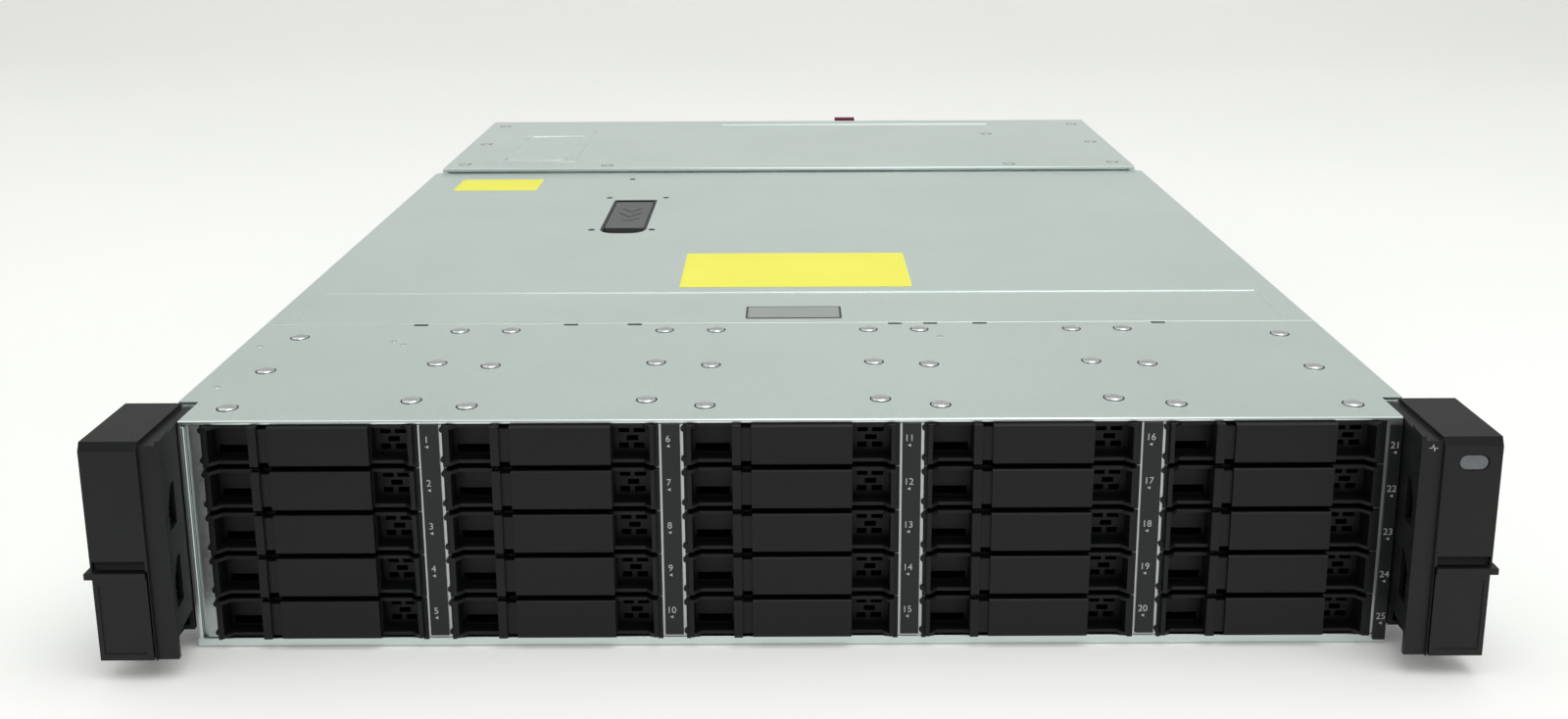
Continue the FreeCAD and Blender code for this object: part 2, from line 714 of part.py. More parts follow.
def power_supply(side, label):
    """Narrow upright case with an inlet, a slatted air outlet and a fixed wire handle."""
    body = new_body(label)
    inner = f"{side} * supply_x"
    outer = f"{side} * (supply_x + supply_width)"
    middle = f"{side} * (supply_x + supply_width / 2)"
    pad(body, "XZ", "module_start", [rectangle(inner, "module_floor", outer, "module_top")],
        "supply_length")
    inlet = rectangle(f"{middle} - 13.5", "module_floor + 6", f"{middle} + 13.5",
                      "module_floor + 26")
    pocket(body, "XZ", "body_depth - 16", [inlet], "20")
    pins = [rectangle(f"{middle} + {x} - 1", "module_floor + 15", f"{middle} + {x} + 1",
                      "module_floor + 19") for x in (-7, 0, 7)]
    pad(body, "XZ", "body_depth - 17", pins, "13")
    vent = rectangle(f"{middle} - 17", "module_top - 40", f"{middle} + 17", "module_top - 6")
    pocket(body, "XZ", "body_depth - 6", [vent], "8")
    slats = [rectangle(f"{middle} - 18", f"module_top - {low}", f"{middle} + 18",
                       f"module_top - {low} + 1.4") for low in (34.5, 27.6, 20.7, 13.8)]
    pad(body, "XZ", "body_depth - 3", slats, "2.5")
    handle = [(f"{middle} - 14", "body_depth - 1"), (f"{middle} - 14", "body_depth + 20"),
              (f"{middle} + 10", "body_depth + 20"), (f"{middle} + 10", "body_depth - 1"),
              (f"{middle} + 6", "body_depth - 1"), (f"{middle} + 6", "body_depth + 16"),
              (f"{middle} - 10", "body_depth + 16"), (f"{middle} - 10", "body_depth - 1")]
    pad(body, "XY", "module_floor + 31", [handle], "5")
    pivot = f"{middle} + tab_offset"
    pad(body, "XY", "tab_floor - 3", [rectangle(f"{pivot} - 2.2", "body_depth - 1",
                                                f"{pivot} + 2.2", "tab_pivot_y + 2.2")], "3")
    pad(body, "XY", "tab_floor - 1", [("circle", pivot, "tab_pivot_y", "tab_pin_radius")],
        "1 + slide_gap + tab_height")
    return body


def supply_tab(side, label):
    """Release tab beside the handle, on a short upright pin at the case."""
    body = new_body(label)
    base = "tab_floor + slide_gap"
    pivot = f"{side} * (supply_x + supply_width / 2) + tab_offset"
    knuckle = round_of(pivot, "tab_pivot_y", "tab_pin_radius + 1.4", 8)
    pad(body, "XY", base, [knuckle], "tab_height")
    tip = "body_depth + tab_reach"
    outline = [(f"{pivot} - 1.2", "tab_pivot_y"), (f"{pivot} + 1.2", "tab_pivot_y"),
               (f"{pivot} + 1.2", f"{tip} - 4"), (f"{pivot} - 0.5", tip),
               (f"{pivot} - 2.7", tip), (f"{pivot} - 1.2", f"{tip} - 6")]
    pad(body, "XY", base, [outline], "tab_height")
    pin_hole = ("circle", pivot, "tab_pivot_y", "tab_pin_radius + pin_fit")
    pocket(body, "XY", f"{base} - 1", [pin_hole], "tab_height + 2")
    return body


def fan_frame(side, label):
    """Square duct with a round bore, four struts that hold the hub seat, and a grip."""
    body = new_body(label)
    axis = f"{side} * fan_axis_x"
    left = f"{axis} - fan_width / 2"
    right = f"{axis} + fan_width / 2"
    start = "body_depth - fan_length"
    pad(body, "XZ", start, [rectangle(left, "module_floor", right, "module_top")],
        "fan_length")
    bore = round_of(axis, "module_axis_z", "fan_bore", 24)
    pocket(body, "XZ", f"{start} - 1", [bore], "fan_length + 2")
    struts = [rectangle(f"{axis} - fan_bore - 1", "module_axis_z - 1.2",
                        f"{axis} + fan_bore + 1", "module_axis_z + 1.2")]
    pad(body, "XZ", "body_depth - 6", struts, "4")
    post = [rectangle(f"{axis} - 1.2", "module_axis_z - fan_bore - 1", f"{axis} + 1.2",
                      "module_axis_z + fan_bore + 1")]
    pad(body, "XZ", "body_depth - 6", post, "4")
    seat = round_of(axis, "module_axis_z", "hub_radius", 12)
    pad(body, "XZ", "body_depth - 8", [seat], "6")
    spindle = ("circle", axis, "module_axis_z", "spindle_radius")
    pad(body, "XZ", "body_depth - 10 - rotor_length", [spindle], "rotor_length + 4")
    grip = [(f"{axis} - 12", "body_depth - 1"), (f"{axis} - 12", "body_depth + 14"),
            (f"{axis} + 12", "body_depth + 14"), (f"{axis} + 12", "body_depth - 1"),
            (f"{axis} + 9", "body_depth - 1"), (f"{axis} + 9", "body_depth + 11"),
            (f"{axis} - 9", "body_depth + 11"), (f"{axis} - 9", "body_depth - 1")]
    pad(body, "XY", "module_top - 4", [grip], "3")
    return body


def fan_rotor(side, label):
    """Hub sleeve on the spindle with seven raked blades."""
    body = new_body(label)
    axis = f"{side} * fan_axis_x"
    front = "body_depth - 9 - rotor_length"
    hub = [round_of("0", "0", "hub_radius", 14),
           ("circle", "0", "0", "spindle_radius + pin_fit")]
    pad(body, "XZ", "0", hub, "rotor_length")
    blade_root = "hub_radius - 0.8"
    sweep = [("2", "-blade_reach"), ("rotor_length - 2 - blade_gauge", "blade_reach"),
             ("rotor_length - 2", "blade_reach"), ("2 + blade_gauge", "-blade_reach")]
    blade = pad(body, "YZ", blade_root, [sweep], f"rotor_radius - ({blade_root})")
    doc.recompute()
    ring = body.newObject("PartDesign::PolarPattern", f"{label}_blades")
    ring.Originals = [blade]
    y_axis = [item for item in body.Origin.OriginFeatures if item.Role == "Y_Axis"][0]
    ring.Axis = (y_axis, [""])
    ring.Angle = 360
    ring.Occurrences = 7
    body.Tip = ring
    bind(body, "Placement.Base.x", axis)
    bind(body, "Placement.Base.z", "module_axis_z")
    bind(body, "Placement.Base.y", f"{front} - body_depth / 2")
    nodes.append(body)
    return body


def io_module(low, label):
    """Wide flat tray with two cable ports, a service port and a row of vents."""
    body = new_body(label)
    high = f"{low} + io_height"
    pad(body, "XZ", "body_depth - io_length", [rectangle("-io_half", low, "io_half", high)],
        "io_length")
    ports = [rectangle(f"{x}", f"{low} + 7", f"{x} + 19", f"{low} + 17") for x in (-70, -38)]
    ports += [rectangle("-8", f"{low} + 7", "6", f"{low} + 18")]
    pocket(body, "XZ", "body_depth - 14", ports, "16")
    vents = [rectangle(f"{x}", f"{low} + 26", f"{x} + 14", f"{low} + 30")
             for x in (-80, -60, -40, -20, 0)]
    pocket(body, "XZ", "body_depth - 6", vents, "8")
    middle = f"{low} + io_height / 2"
    pad(body, "XY", f"{middle} - 3", [rectangle("io_pivot_x - 3.5", "body_depth - 1",
                                               "io_pivot_x + 3.5", "io_pivot_y + 3.5")], "6")
    pad(body, "XY", f"{middle} + 2", [("circle", "io_pivot_x", "io_pivot_y", "io_pin_radius")],
        "1 + slide_gap + io_knuckle")
    return body


def io_lever(low, paddle_height, label):
    """Ejector arm that turns on the module's upright pin, with a paddle near the middle."""
    body = new_body(label)
    base = f"{low} + io_height / 2 + 3 + slide_gap"
    knuckle = round_of("io_pivot_x", "io_pivot_y", "3.3", 8)
    pad(body, "XY", base, [knuckle], "io_knuckle")
    arm = [("io_paddle_x", "body_depth + 1"), ("io_pivot_x", "body_depth + 1"),
           ("io_pivot_x", "io_pivot_y + 2"), ("io_paddle_x", "io_pivot_y + 0.5")]
    pad(body, "XY", base, [arm], "io_knuckle")
    reach = "body_depth + paddle_reach"
    hook = rectangle("io_paddle_x", "io_pivot_y - 1", "io_paddle_x + paddle_width", reach)
    pad(body, "XY", base, [hook], "2.4")
    paddle = rectangle("io_paddle_x", f"{reach} - 3.5", "io_paddle_x + paddle_width", reach)
    pad(body, "XY", base, [paddle], paddle_height)
    pin_hole = ("circle", "io_pivot_x", "io_pivot_y", "io_pin_radius + pin_fit")
    pocket(body, "XY", f"{base} - 1", [pin_hole], "io_knuckle + 2")
    return body


# ---- rack ears -----------------------------------------------------------------------------------

def ear_bracket(side, name):
    """Steel angle on the cage wall that carries the ear and takes the rack screw."""
    body = new_body(name)
    foot = "mouth_half + bracket_gauge"
    back = "ear_back + bracket_gauge"
    angle = [(f"{side} * mouth_half", "ear_back"), (f"{side} * ear_outer", "ear_back"),
             (f"{side} * ear_outer", back), (f"{side} * ({foot})", back),
             (f"{side} * ({foot})", "70"), (f"{side} * mouth_half", "70")]
    pad(body, "XY", "ear_foot + 0.4", [angle], "wall_top - 1.6 - ear_foot")
    hole = ("circle", f"{side} * screw_x", "rack_screw_z", "rack_screw_radius + 0.8")
    pocket(body, "XZ", "ear_back - 1", [hole], "bracket_gauge + 2")
    return body


def ear_brackets():
    return group("ear_brackets", [ear_bracket(-1, "left_ear_bracket"),
                                  ear_bracket(1, "right_ear_bracket")])


def ear_shell(side, label, has_button):
    """Moulded ear: chamfered hollow shell, set-back inner strip, windows, bay for the lever."""
    body = new_body(label)
    back = "ear_back - 0.1"
    plan = [(f"{side} * ear_outer", back), (f"{side} * (mouth_half + 0.3)", back),
            (f"{side} * (mouth_half + 0.3)", "-0.3"),
            (f"{side} * (ear_face_x - 7.5)", "1.2 - ear_reach"),
            (f"{side} * (ear_face_x - 0.4)", "1.2 - ear_reach"),
            (f"{side} * ear_face_x", "-ear_reach"), (f"{side} * ear_outer", "-ear_reach")]
    pad(body, "XY", "ear_foot", [plan], "ear_top - ear_foot")
    strip = rectangle(f"{side} * (mouth_half - 1)", "-ear_reach - 1",
                      f"{side} * (ear_face_x - 0.4)", "ear_back + 1")
    pocket(body, "XY", "ear_top - ear_step", [strip], "ear_step + 1")
    far = "ear_width + 60"
    start = "mouth_half - 30" if side > 0 else "-ear_outer - 30"
    slope = "ear_chamfer / ear_chamfer_run"
    chamfer = [("-ear_reach - 1", f"ear_top - ear_chamfer - {slope}"),
               ("-ear_reach + ear_chamfer_run + 1", f"ear_top + {slope}"),
               ("-ear_reach - 1", f"ear_top + {slope}")]
    pocket(body, "YZ", start, [chamfer], far)
    cavity = [(f"{side} * (ear_outer - ear_wall)", "ear_back + 1"),
              (f"{side} * (mouth_half + 0.3 + ear_wall)", "ear_back + 1"),
              (f"{side} * (mouth_half + 0.3 + ear_wall)", "0"),
              (f"{side} * (ear_face_x - 7.5 + ear_wall)", "1.2 + ear_wall - ear_reach"),
              (f"{side} * (ear_outer - ear_wall)", "1.2 + ear_wall - ear_reach")]
    pocket(body, "XY", "ear_foot + ear_wall", [cavity], "ear_top - ear_foot - 2 * ear_wall"
           " - ear_chamfer / 2")
    bay = rectangle(f"{side} * (ear_face_x + 0.2)", "ear_foot - 1", f"{side} * (ear_outer + 1)",
                    "lever_top")
    pocket(body, "XZ", "-ear_reach - 1", [bay], "ear_reach + 1 - 8")
    windows = [[("-17.5", "54"), ("-9.5", "54"), ("-9.5", "69.4"), ("-13", "69.4"),
                ("-17.5", "63")],
               [("-18", "25"), ("-10", "25"), ("-10", "42.3"), ("-13.5", "42.3"),
                ("-18", "36")]]
    start = "mouth_half - 12" if side > 0 else "-mouth_half - 6"
    pocket(body, "YZ", start, windows, "18")
    sweep = [("-1", "ear_foot - 1"), ("-ear_reach + 3.4", "ear_foot - 1"),
             ("-ear_reach + 3.4", "14.5"), ("-ear_reach + 4.6", "16"), ("-1", "16")]
    pocket(body, "YZ", "mouth_half - 12" if side > 0 else "-mouth_half - 4", [sweep], "16")
    if has_button:
        reach = "button_length / 2 + button_fit"
        rise = "button_height / 2 + button_fit"
        cut = f"0.55 * ({rise})"
        hole = [(f"button_x + {across} * ({reach} - {inset})", f"button_z + {up} * ({rise} - {drop})")
                for across, up, inset, drop in
                ((-1, -1, cut, "0"), (1, -1, cut, "0"), (1, -1, "0", cut), (1, 1, "0", cut),
                 (1, 1, cut, "0"), (-1, 1, cut, "0"), (-1, 1, "0", cut), (-1, -1, "0", cut))]
        pocket(body, "XZ", "-ear_reach - 1", [hole], "ear_wall + 4")
    lug = "pivot_radius + 1.8"
    start = "screw_x - 3.5" if side > 0 else "-screw_x - 3.5"
    pad(body, "YZ", start, [[("lever_pivot_y", f"lever_pivot_z - ({lug})"),
                             ("-8.5", f"lever_pivot_z - ({lug})"), ("-8", "ear_foot + 1"),
                             ("-4", "ear_foot + 1"), ("-4", f"lever_pivot_z + {lug}"),
                             ("lever_pivot_y", f"lever_pivot_z + {lug}")]], "7")
    pad(body, "YZ", start, [round_of("lever_pivot_y", "lever_pivot_z", lug, 8)], "7")
    pocket(body, "YZ", f"{start} - 1",
           [("circle", "lever_pivot_y", "lever_pivot_z", "pivot_radius + pin_fit")], "9")
    return body


def ear_lever(side, label):
    """Fold-down lever: face plate with a finger ledge on top and two cheeks at the pivot."""
    body = new_body(label)
    inner = "ear_face_x + 0.8"
    outer = "ear_outer - 0.2"
    front = "-ear_reach"
    low = "ear_foot + 0.2"
    pad(body, "XZ", front, [rectangle(f"{side} * ({inner})", low, f"{side} * ({outer})",
                                      "lever_top - slide_gap")], "lever_wall")
    ledge = rectangle(f"{side} * ({inner})", "lever_top - slide_gap - 2.4",
                      f"{side} * ({outer} + lever_ledge)", "lever_top - slide_gap")
    pad(body, "XZ", f"{front} - 0.9", [ledge], "4.9")
    cheeks = [rectangle(f"{side} * ({inner})", front, f"{side} * ({inner} + 1.6)",
                        f"{front} + lever_depth"),
              rectangle(f"{side} * ({outer} - 1.6)", front, f"{side} * ({outer})",
                        f"{front} + lever_depth")]
    pad(body, "XY", low, cheeks, "10")
    pin = ("circle", "lever_pivot_y", "lever_pivot_z", "pivot_radius")
    start = f"{inner} + 0.1" if side > 0 else f"-({outer}) + 0.1"
    pad(body, "YZ", start, [pin], f"{outer} - ({inner}) - 0.2")
    badge = rectangle(f"{side} * ({inner} + 2.4)", "ear_foot + 2.6", f"{side} * ({outer} - 1.8)",
                      "lever_top - 5")
    pocket(body, "XZ", f"{front} - 0.1", [badge], "0.5")
    return body


def rack_screw(side, label):
    """Captive screw behind the lever: collar head, neck in the bracket, threaded stud."""
    body = new_body(label)
    centre = f"{side} * screw_x"
    seat = "ear_back - slide_gap"
    neck_end = "ear_back + bracket_gauge + 0.5"
    pad(body, "XZ", "2", [round_of(centre, "rack_screw_z", "screw_head_radius", 12)],
        f"{seat} - 2")
    pad(body, "XZ", f"{seat} - 1",
        [round_of(centre, "rack_screw_z", "rack_screw_radius + 0.4", 10)],
        f"{neck_end} - ({seat}) + 1")
    pad(body, "XZ", f"{neck_end} - 0.5",
        [("circle", centre, "rack_screw_z", "rack_screw_radius")], "9")
    return body


def status_button():
    """Clear lozenge-shaped push button in the right ear."""
    body = new_body("status_button")
    half = "button_length / 2 - button_height / 2"
    middle = rectangle(f"button_x - ({half})", "button_z - button_height / 2",
                       f"button_x + {half}", "button_z + button_height / 2")
    pad(body, "XZ", "-ear_reach - 0.9", [middle], "5.6")
    for side in (-1, 1):
        end = ("circle", f"button_x + {side} * ({half})", "button_z", "button_height / 2")
        pad(body, "XZ", "-ear_reach - 0.9", [end], "5.6")
    return body


# ---- build ---------------------------------------------------------------------------------------

for piece in (base_pan(), front_cover(), rear_cover(), cage_walls(), bay_label_strips(),
              access_panel(), latch_cup(), latch_handle(), midplane_board(),
              drive_connectors(), module_backplane(), module_sockets(), bridge_board(),
              rear_module_frame(), power_supply(-1, "left_power_supply"),
              power_supply(1, "right_power_supply"), supply_tab(-1, "left_supply_tab"),
              supply_tab(1, "right_supply_tab"), fan_frame(-1, "left_fan_frame"),
              fan_frame(1, "right_fan_frame"), io_module("module_floor", "lower_io_module"),
              io_module("io_upper_z", "upper_io_module"),
              io_lever("module_floor", "lower_paddle_height", "lower_io_lever"),
              io_lever("io_upper_z", "upper_paddle_height", "upper_io_lever"),
              ear_brackets(),
              ear_shell(-1, "left_ear_shell", False), ear_shell(1, "right_ear_shell", True),
              ear_lever(-1, "left_ear_lever"), ear_lever(1, "right_ear_lever"),
              rack_screw(-1, "left_rack_screw"), rack_screw(1, "right_rack_screw"),
              status_button()):
    finish(piece)
fan_rotor(-1, "left_fan_rotor")
fan_rotor(1, "right_fan_rotor")
drive_blanks()

doc.recompute()
for item in doc.Objects:
    if "Invalid" in item.State or "Error" in item.State:
        raise RuntimeError(f"{item.Label} did not build: {item.State}")
    if item.isDerivedFrom("PartDesign::Pocket"):
        if item.Shape.Volume >= item.BaseFeature.Shape.Volume:
            raise RuntimeError(f"{item.Label} cuts nothing")
for item in nodes:
    shape = item.Shape
    if shape.isNull() or not shape.isValid() or not shape.Solids:
        raise RuntimeError(f"{item.Label} has no valid solid")
for item in nodes:
    item.Shape.exportStep(f"parts/{item.Label}.step")
print(len(nodes), "pieces written")
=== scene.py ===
import bmesh
import bpy
import json
import math
from mathutils import Matrix, Vector

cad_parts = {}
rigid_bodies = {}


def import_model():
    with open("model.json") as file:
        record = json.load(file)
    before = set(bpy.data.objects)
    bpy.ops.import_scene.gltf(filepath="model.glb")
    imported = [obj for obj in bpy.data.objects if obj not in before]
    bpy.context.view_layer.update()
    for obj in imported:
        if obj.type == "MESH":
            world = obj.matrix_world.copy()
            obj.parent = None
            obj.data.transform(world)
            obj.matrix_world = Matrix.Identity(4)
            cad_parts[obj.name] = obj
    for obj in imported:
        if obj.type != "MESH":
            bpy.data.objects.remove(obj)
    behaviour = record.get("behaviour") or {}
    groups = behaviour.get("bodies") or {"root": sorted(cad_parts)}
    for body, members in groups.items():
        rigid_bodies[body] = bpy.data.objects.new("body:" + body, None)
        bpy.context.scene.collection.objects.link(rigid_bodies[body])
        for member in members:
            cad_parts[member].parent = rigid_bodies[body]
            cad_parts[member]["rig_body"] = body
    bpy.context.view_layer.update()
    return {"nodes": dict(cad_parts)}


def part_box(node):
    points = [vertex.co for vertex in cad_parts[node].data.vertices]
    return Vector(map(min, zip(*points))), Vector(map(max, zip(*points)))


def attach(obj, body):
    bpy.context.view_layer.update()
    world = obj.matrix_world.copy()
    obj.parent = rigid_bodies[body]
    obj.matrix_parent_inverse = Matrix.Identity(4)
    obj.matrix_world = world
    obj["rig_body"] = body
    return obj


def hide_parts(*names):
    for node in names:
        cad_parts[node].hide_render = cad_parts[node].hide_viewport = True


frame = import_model()
mm = 0.001
shelfMiddle = 300  # places below count Y from the front plane, the frame from the middle


def at(x, y, z):
    return Vector((x * mm, (y - shelfMiddle) * mm, z * mm))


def quarterTurn(axis):
    return Matrix.Rotation(math.radians(90), 4, axis)


def placed(thing):
    # Puts an object in the scene
    bpy.context.scene.collection.objects.link(thing)
    return thing


# Camera: a slightly wide lens that looks down on the front from half a metre away
view = {"place": (-0.2, -489.6, 279.3), "pitch": 12.0, "yaw": 0.085, "roll": -0.264,
        "lens": 33.75, "sensor": 36, "shift": (-0.0014, -0.1172), "nearest": 0.02}
cameraData = bpy.data.cameras.new("studioCamera")
cameraData.lens = view["lens"]
cameraData.sensor_width = view["sensor"]
cameraData.shift_x, cameraData.shift_y = view["shift"]
cameraData.clip_start = view["nearest"]
camera = placed(bpy.data.objects.new("studioCamera", cameraData))
turn = (Matrix.Rotation(math.radians(view["yaw"]), 3, "Z")
        @ Matrix.Rotation(math.radians(90 - view["pitch"]), 3, "X")
        @ Matrix.Rotation(math.radians(view["roll"]), 3, "Z"))
camera.matrix_world = Matrix.Translation(at(*view["place"])) @ turn.to_4x4()
bpy.context.scene.camera = camera
bpy.context.scene.view_settings.view_transform = "Standard"
print("camera placed")


def hexColour(code):
    channels = [int(code[i:i + 2], 16) / 255 for i in (1, 3, 5)]
    linear = [c / 12.92 if c <= 0.04045 else ((c + 0.055) / 1.055) ** 2.4 for c in channels]
    return (*linear, 1)


def addNode(tree, kind, settings=None, inputs=None):
    node = tree.nodes.new(kind)
    for name, setting in (settings or {}).items():
        setattr(node, name, setting)
    for name, source in (inputs or {}).items():
        socket = node.inputs[name]
        if isinstance(source, bpy.types.NodeSocket):
            tree.links.new(source, socket)
        else:
            socket.default_value = source
    return node


# How strongly the noise speaks in every finish, the sizes are each finish's own
grainLook = {"span": (0.3, 0.7), "speckTone": (0.72, 1.12), "speckle": 0.2, "strength": 0.3,
             "driftDetail": 3.0, "driftRoughness": 0.55, "grainDetail": 4.0,
             "grainRoughness": 0.6, "coatRoughness": 0.25,
             "ior": 1.5, "shine": 0.5}  # mouldings, film, ink and lacquer all lie near 1.5


def newMaterial(name):
    material = bpy.data.materials.new(name)
    material.use_nodes = True
    return material, material.node_tree, material.node_tree.nodes["Principled BSDF"]


def spread(tree, grain, span):
    # The grain's middle values stretched over a span
    low, high = grainLook["span"]
    return addNode(tree, "ShaderNodeMapRange", None,
                   {"Value": grain.outputs["Fac"], "From Min": low, "From Max": high,
                    "To Min": span[0], "To Max": span[1]}).outputs["Result"]


def grainedFinish(name, look):
    # Tone drifts over look["drift"] mm, grain and bump follow look["grain"] mm
    material, tree, shader = newMaterial(name)
    place = addNode(tree, "ShaderNodeTexCoord").outputs["Object"]
    stretched = addNode(tree, "ShaderNodeMapping", None,
                        {"Vector": place, "Scale": look.get("stretch", (1, 1, 1))})
    drift = addNode(tree, "ShaderNodeTexNoise", None,
                    {"Vector": place, "Scale": 1 / (look["drift"] * mm),
                     "Detail": grainLook["driftDetail"],
                     "Roughness": grainLook["driftRoughness"]})
    grain = addNode(tree, "ShaderNodeTexNoise", None,
                    {"Vector": stretched.outputs["Vector"],
                     "Scale": 1 / (look["grain"] * mm), "Detail": grainLook["grainDetail"],
                     "Roughness": grainLook["grainRoughness"]})
    tones = addNode(tree, "ShaderNodeMix", {"data_type": "RGBA"})
    tones.inputs[6].default_value = hexColour(look["colour"])
    tones.inputs[7].default_value = hexColour(look["drifted"])
    tree.links.new(drift.outputs["Fac"], tones.inputs[0])
    speckled = addNode(tree, "ShaderNodeMix", {"data_type": "RGBA", "blend_type": "MULTIPLY"})
    speckled.inputs[0].default_value = look.get("speckle", grainLook["speckle"])
    tree.links.new(tones.outputs[2], speckled.inputs[6])
    tree.links.new(spread(tree, grain, grainLook["speckTone"]), speckled.inputs[7])
    tree.links.new(speckled.outputs[2], shader.inputs["Base Color"])
    tree.links.new(spread(tree, grain, look["roughness"]), shader.inputs["Roughness"])
    bump = addNode(tree, "ShaderNodeBump", None,
                   {"Height": grain.outputs["Fac"],
                    "Strength": look.get("strength", grainLook["strength"]),
                    "Distance": look["relief"] * mm})
    tree.links.new(bump.outputs["Normal"], shader.inputs["Normal"])
    shader.inputs["Metallic"].default_value = look.get("metal", 0)
    if not look.get("metal"):
        shader.inputs["IOR"].default_value = grainLook["ior"]
        shader.inputs["Specular IOR Level"].default_value = look.get(
            "shine", grainLook["shine"])
    if "coat" in look:
        shader.inputs["Coat Weight"].default_value = look["coat"]
        shader.inputs["Coat Roughness"].default_value = grainLook["coatRoughness"]
    material.diffuse_color = hexColour(look["colour"])
    return material


# drift, grain and relief are real sizes in mm. Moulding grit and paper fibre are finer than
# the view can show, so their grain is drawn at 0.3 to 0.5 mm, as coarse as it needs to show.
finishes = {
    # Zinc-coated sheet steel: pale cool green-grey, soft clouds, a rolled grain along the depth
    "galvanisedSheet": {"colour": "#d8e4e2", "drifted": "#e6f1ee", "drift": 90, "grain": 0.9,
                        "stretch": (1, 0.12, 1), "speckle": 0.12, "roughness": (0.30, 0.42),
                        "relief": 0.01, "metal": 1},
    # Bare rolled steel of the cage: greyer and more even than the lids, dim between the bays
    "rolledSteel": {"colour": "#b4bab9", "drifted": "#c2c8c6", "drift": 40, "grain": 0.8,
                    "speckle": 0.2, "roughness": (0.28, 0.45), "relief": 0.01, "metal": 1},
    # Zinc-plated steel of rivets, screws and wire: small bright highlights
    "zincPlatedSteel": {"colour": "#c6cacb", "drifted": "#d6d9da", "drift": 6, "grain": 0.5,
                        "roughness": (0.2, 0.32), "relief": 0.01, "metal": 1},
    # Black ABS moulded in a lightly textured tool: near black, a wide dull sheen
    "mouldedBlackAbs": {"colour": "#08090a", "drifted": "#0d0f10", "drift": 25,
                        "grain": 0.35, "speckle": 0.35, "roughness": (0.42, 0.58),
                        "relief": 0.02, "strength": 0.5, "shine": 0.3},
    # Black ABS in a more textured tool, for the ears: a little greyer where light grazes it
    "texturedBlackAbs": {"colour": "#0b0c0e", "drifted": "#101114", "drift": 25,
                         "grain": 0.4, "speckle": 0.35, "roughness": (0.4, 0.55),
                         "relief": 0.025, "strength": 0.5, "shine": 0.32},
    # Dark moulded nylon of fans and sockets: matt charcoal
    "mouldedDarkNylon": {"colour": "#1c1e20", "drifted": "#232527", "drift": 20,
                         "grain": 0.4, "speckle": 0.3, "roughness": (0.45, 0.6),
                         "relief": 0.02},
    # Grey moulded nylon of the latch handle: mid grey, even
    "mouldedGreyNylon": {"colour": "#4b4f50", "drifted": "#565a5b", "drift": 20,
                         "grain": 0.4, "speckle": 0.15, "roughness": (0.42, 0.55),
                         "relief": 0.015},
    # Polyester label film, printed black: smooth, slightly glossier than the mouldings
    "blackPolyesterFilm": {"colour": "#1d1f20", "drifted": "#242627", "drift": 12,
                           "grain": 0.3, "speckle": 0.2, "roughness": (0.35, 0.48),
                           "relief": 0.01, "shine": 0.32},
    # Screen-printed ink: flat light grey
    "screenPrintedInk": {"colour": "#c9cbc9", "drifted": "#b8bab8", "drift": 2,
                         "grain": 0.2, "roughness": (0.45, 0.6), "relief": 0.005},
    # Printed label paper: flat strong yellow
    "printedYellowPaper": {"colour": "#ebe74e", "drifted": "#f5f15e", "drift": 30,
                           "grain": 0.5, "speckle": 0.08, "roughness": (0.5, 0.62),
                           "relief": 0.01},
    # Satin foil of the bare name plate: mid grey, a little sheen
    "satinFoil": {"colour": "#8e9492", "drifted": "#979d9a", "drift": 14, "grain": 0.4,
                  "speckle": 0.15, "roughness": (0.35, 0.48), "relief": 0.01},
    # Printed border of the name plate: a thin dark outline
    "printedBorder": {"colour": "#2c2e30", "drifted": "#35373a", "drift": 10, "grain": 0.4,
                      "roughness": (0.4, 0.5), "relief": 0.01},
    # Painted highlight: a small tab in lighter grey on top of each blank's latch bar, where the
    # bar's top edge catches the light
    "tabHighlightGrey": {"colour": "#6c6e6f", "drifted": "#787a7b", "drift": 3,
                          "grain": 0.3, "speckle": 0.2, "roughness": (0.35, 0.5),
                          "relief": 0.01},
    # Painted shade: matt black for the ends of slots and pockets, behind windows, in grooves
    # and under rims, where shade falls
    "paintedShadeBlack": {"colour": "#0b0c0d", "drifted": "#101112", "drift": 10,
                       "grain": 0.6, "roughness": (0.6, 0.75), "relief": 0.02},
    # Glass-epoxy board under solder lacquer: dark green with a thin gloss
    "lacqueredBoard": {"colour": "#1f5a3c", "drifted": "#246745", "drift": 9, "grain": 0.7,
                       "speckle": 0.3, "roughness": (0.3, 0.45), "relief": 0.02,
                       "coat": 0.4},
    # Zinc-coated sheet of the module cases: neutral grey, grain along the depth
    "moduleSheet": {"colour": "#aeb4b5", "drifted": "#bac0c0", "drift": 50, "grain": 0.9,
                    "stretch": (1, 0.15, 1), "speckle": 0.12, "roughness": (0.32, 0.45),
                    "relief": 0.01, "metal": 1},
    # Burgundy moulded ABS of levers and tabs: dull wine red
    "mouldedBurgundyAbs": {"colour": "#7c2f4b", "drifted": "#873655", "drift": 14,
                           "grain": 0.35, "speckle": 0.2, "roughness": (0.35, 0.5),
                           "relief": 0.015},
    # Frosted polycarbonate of the button: smoky grey under a clear skin
    "frostedPolycarbonate": {"colour": "#50565a", "drifted": "#6a7073", "drift": 3,
                             "grain": 0.3, "speckle": 0.1, "roughness": (0.18, 0.3),
                             "relief": 0.005, "coat": 0.5},
}
finish = {name: grainedFinish(name, look) for name, look in finishes.items()}
print("finishes made:", len(finish))


def newPiece(name, mesh, body, material):
    piece = placed(bpy.data.objects.new(name, mesh))
    mesh.materials.clear()
    mesh.materials.append(finish[material])
    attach(piece, body)
    return piece


def meshFrom(work, name, outwards=False):
    # Turns a bmesh into a mesh, its faces pointed outwards first where asked
    if outwards:
        bmesh.ops.recalc_face_normals(work, faces=work.faces)
    mesh = bpy.data.meshes.new(name)
    work.to_mesh(mesh)
    work.free()
    return mesh


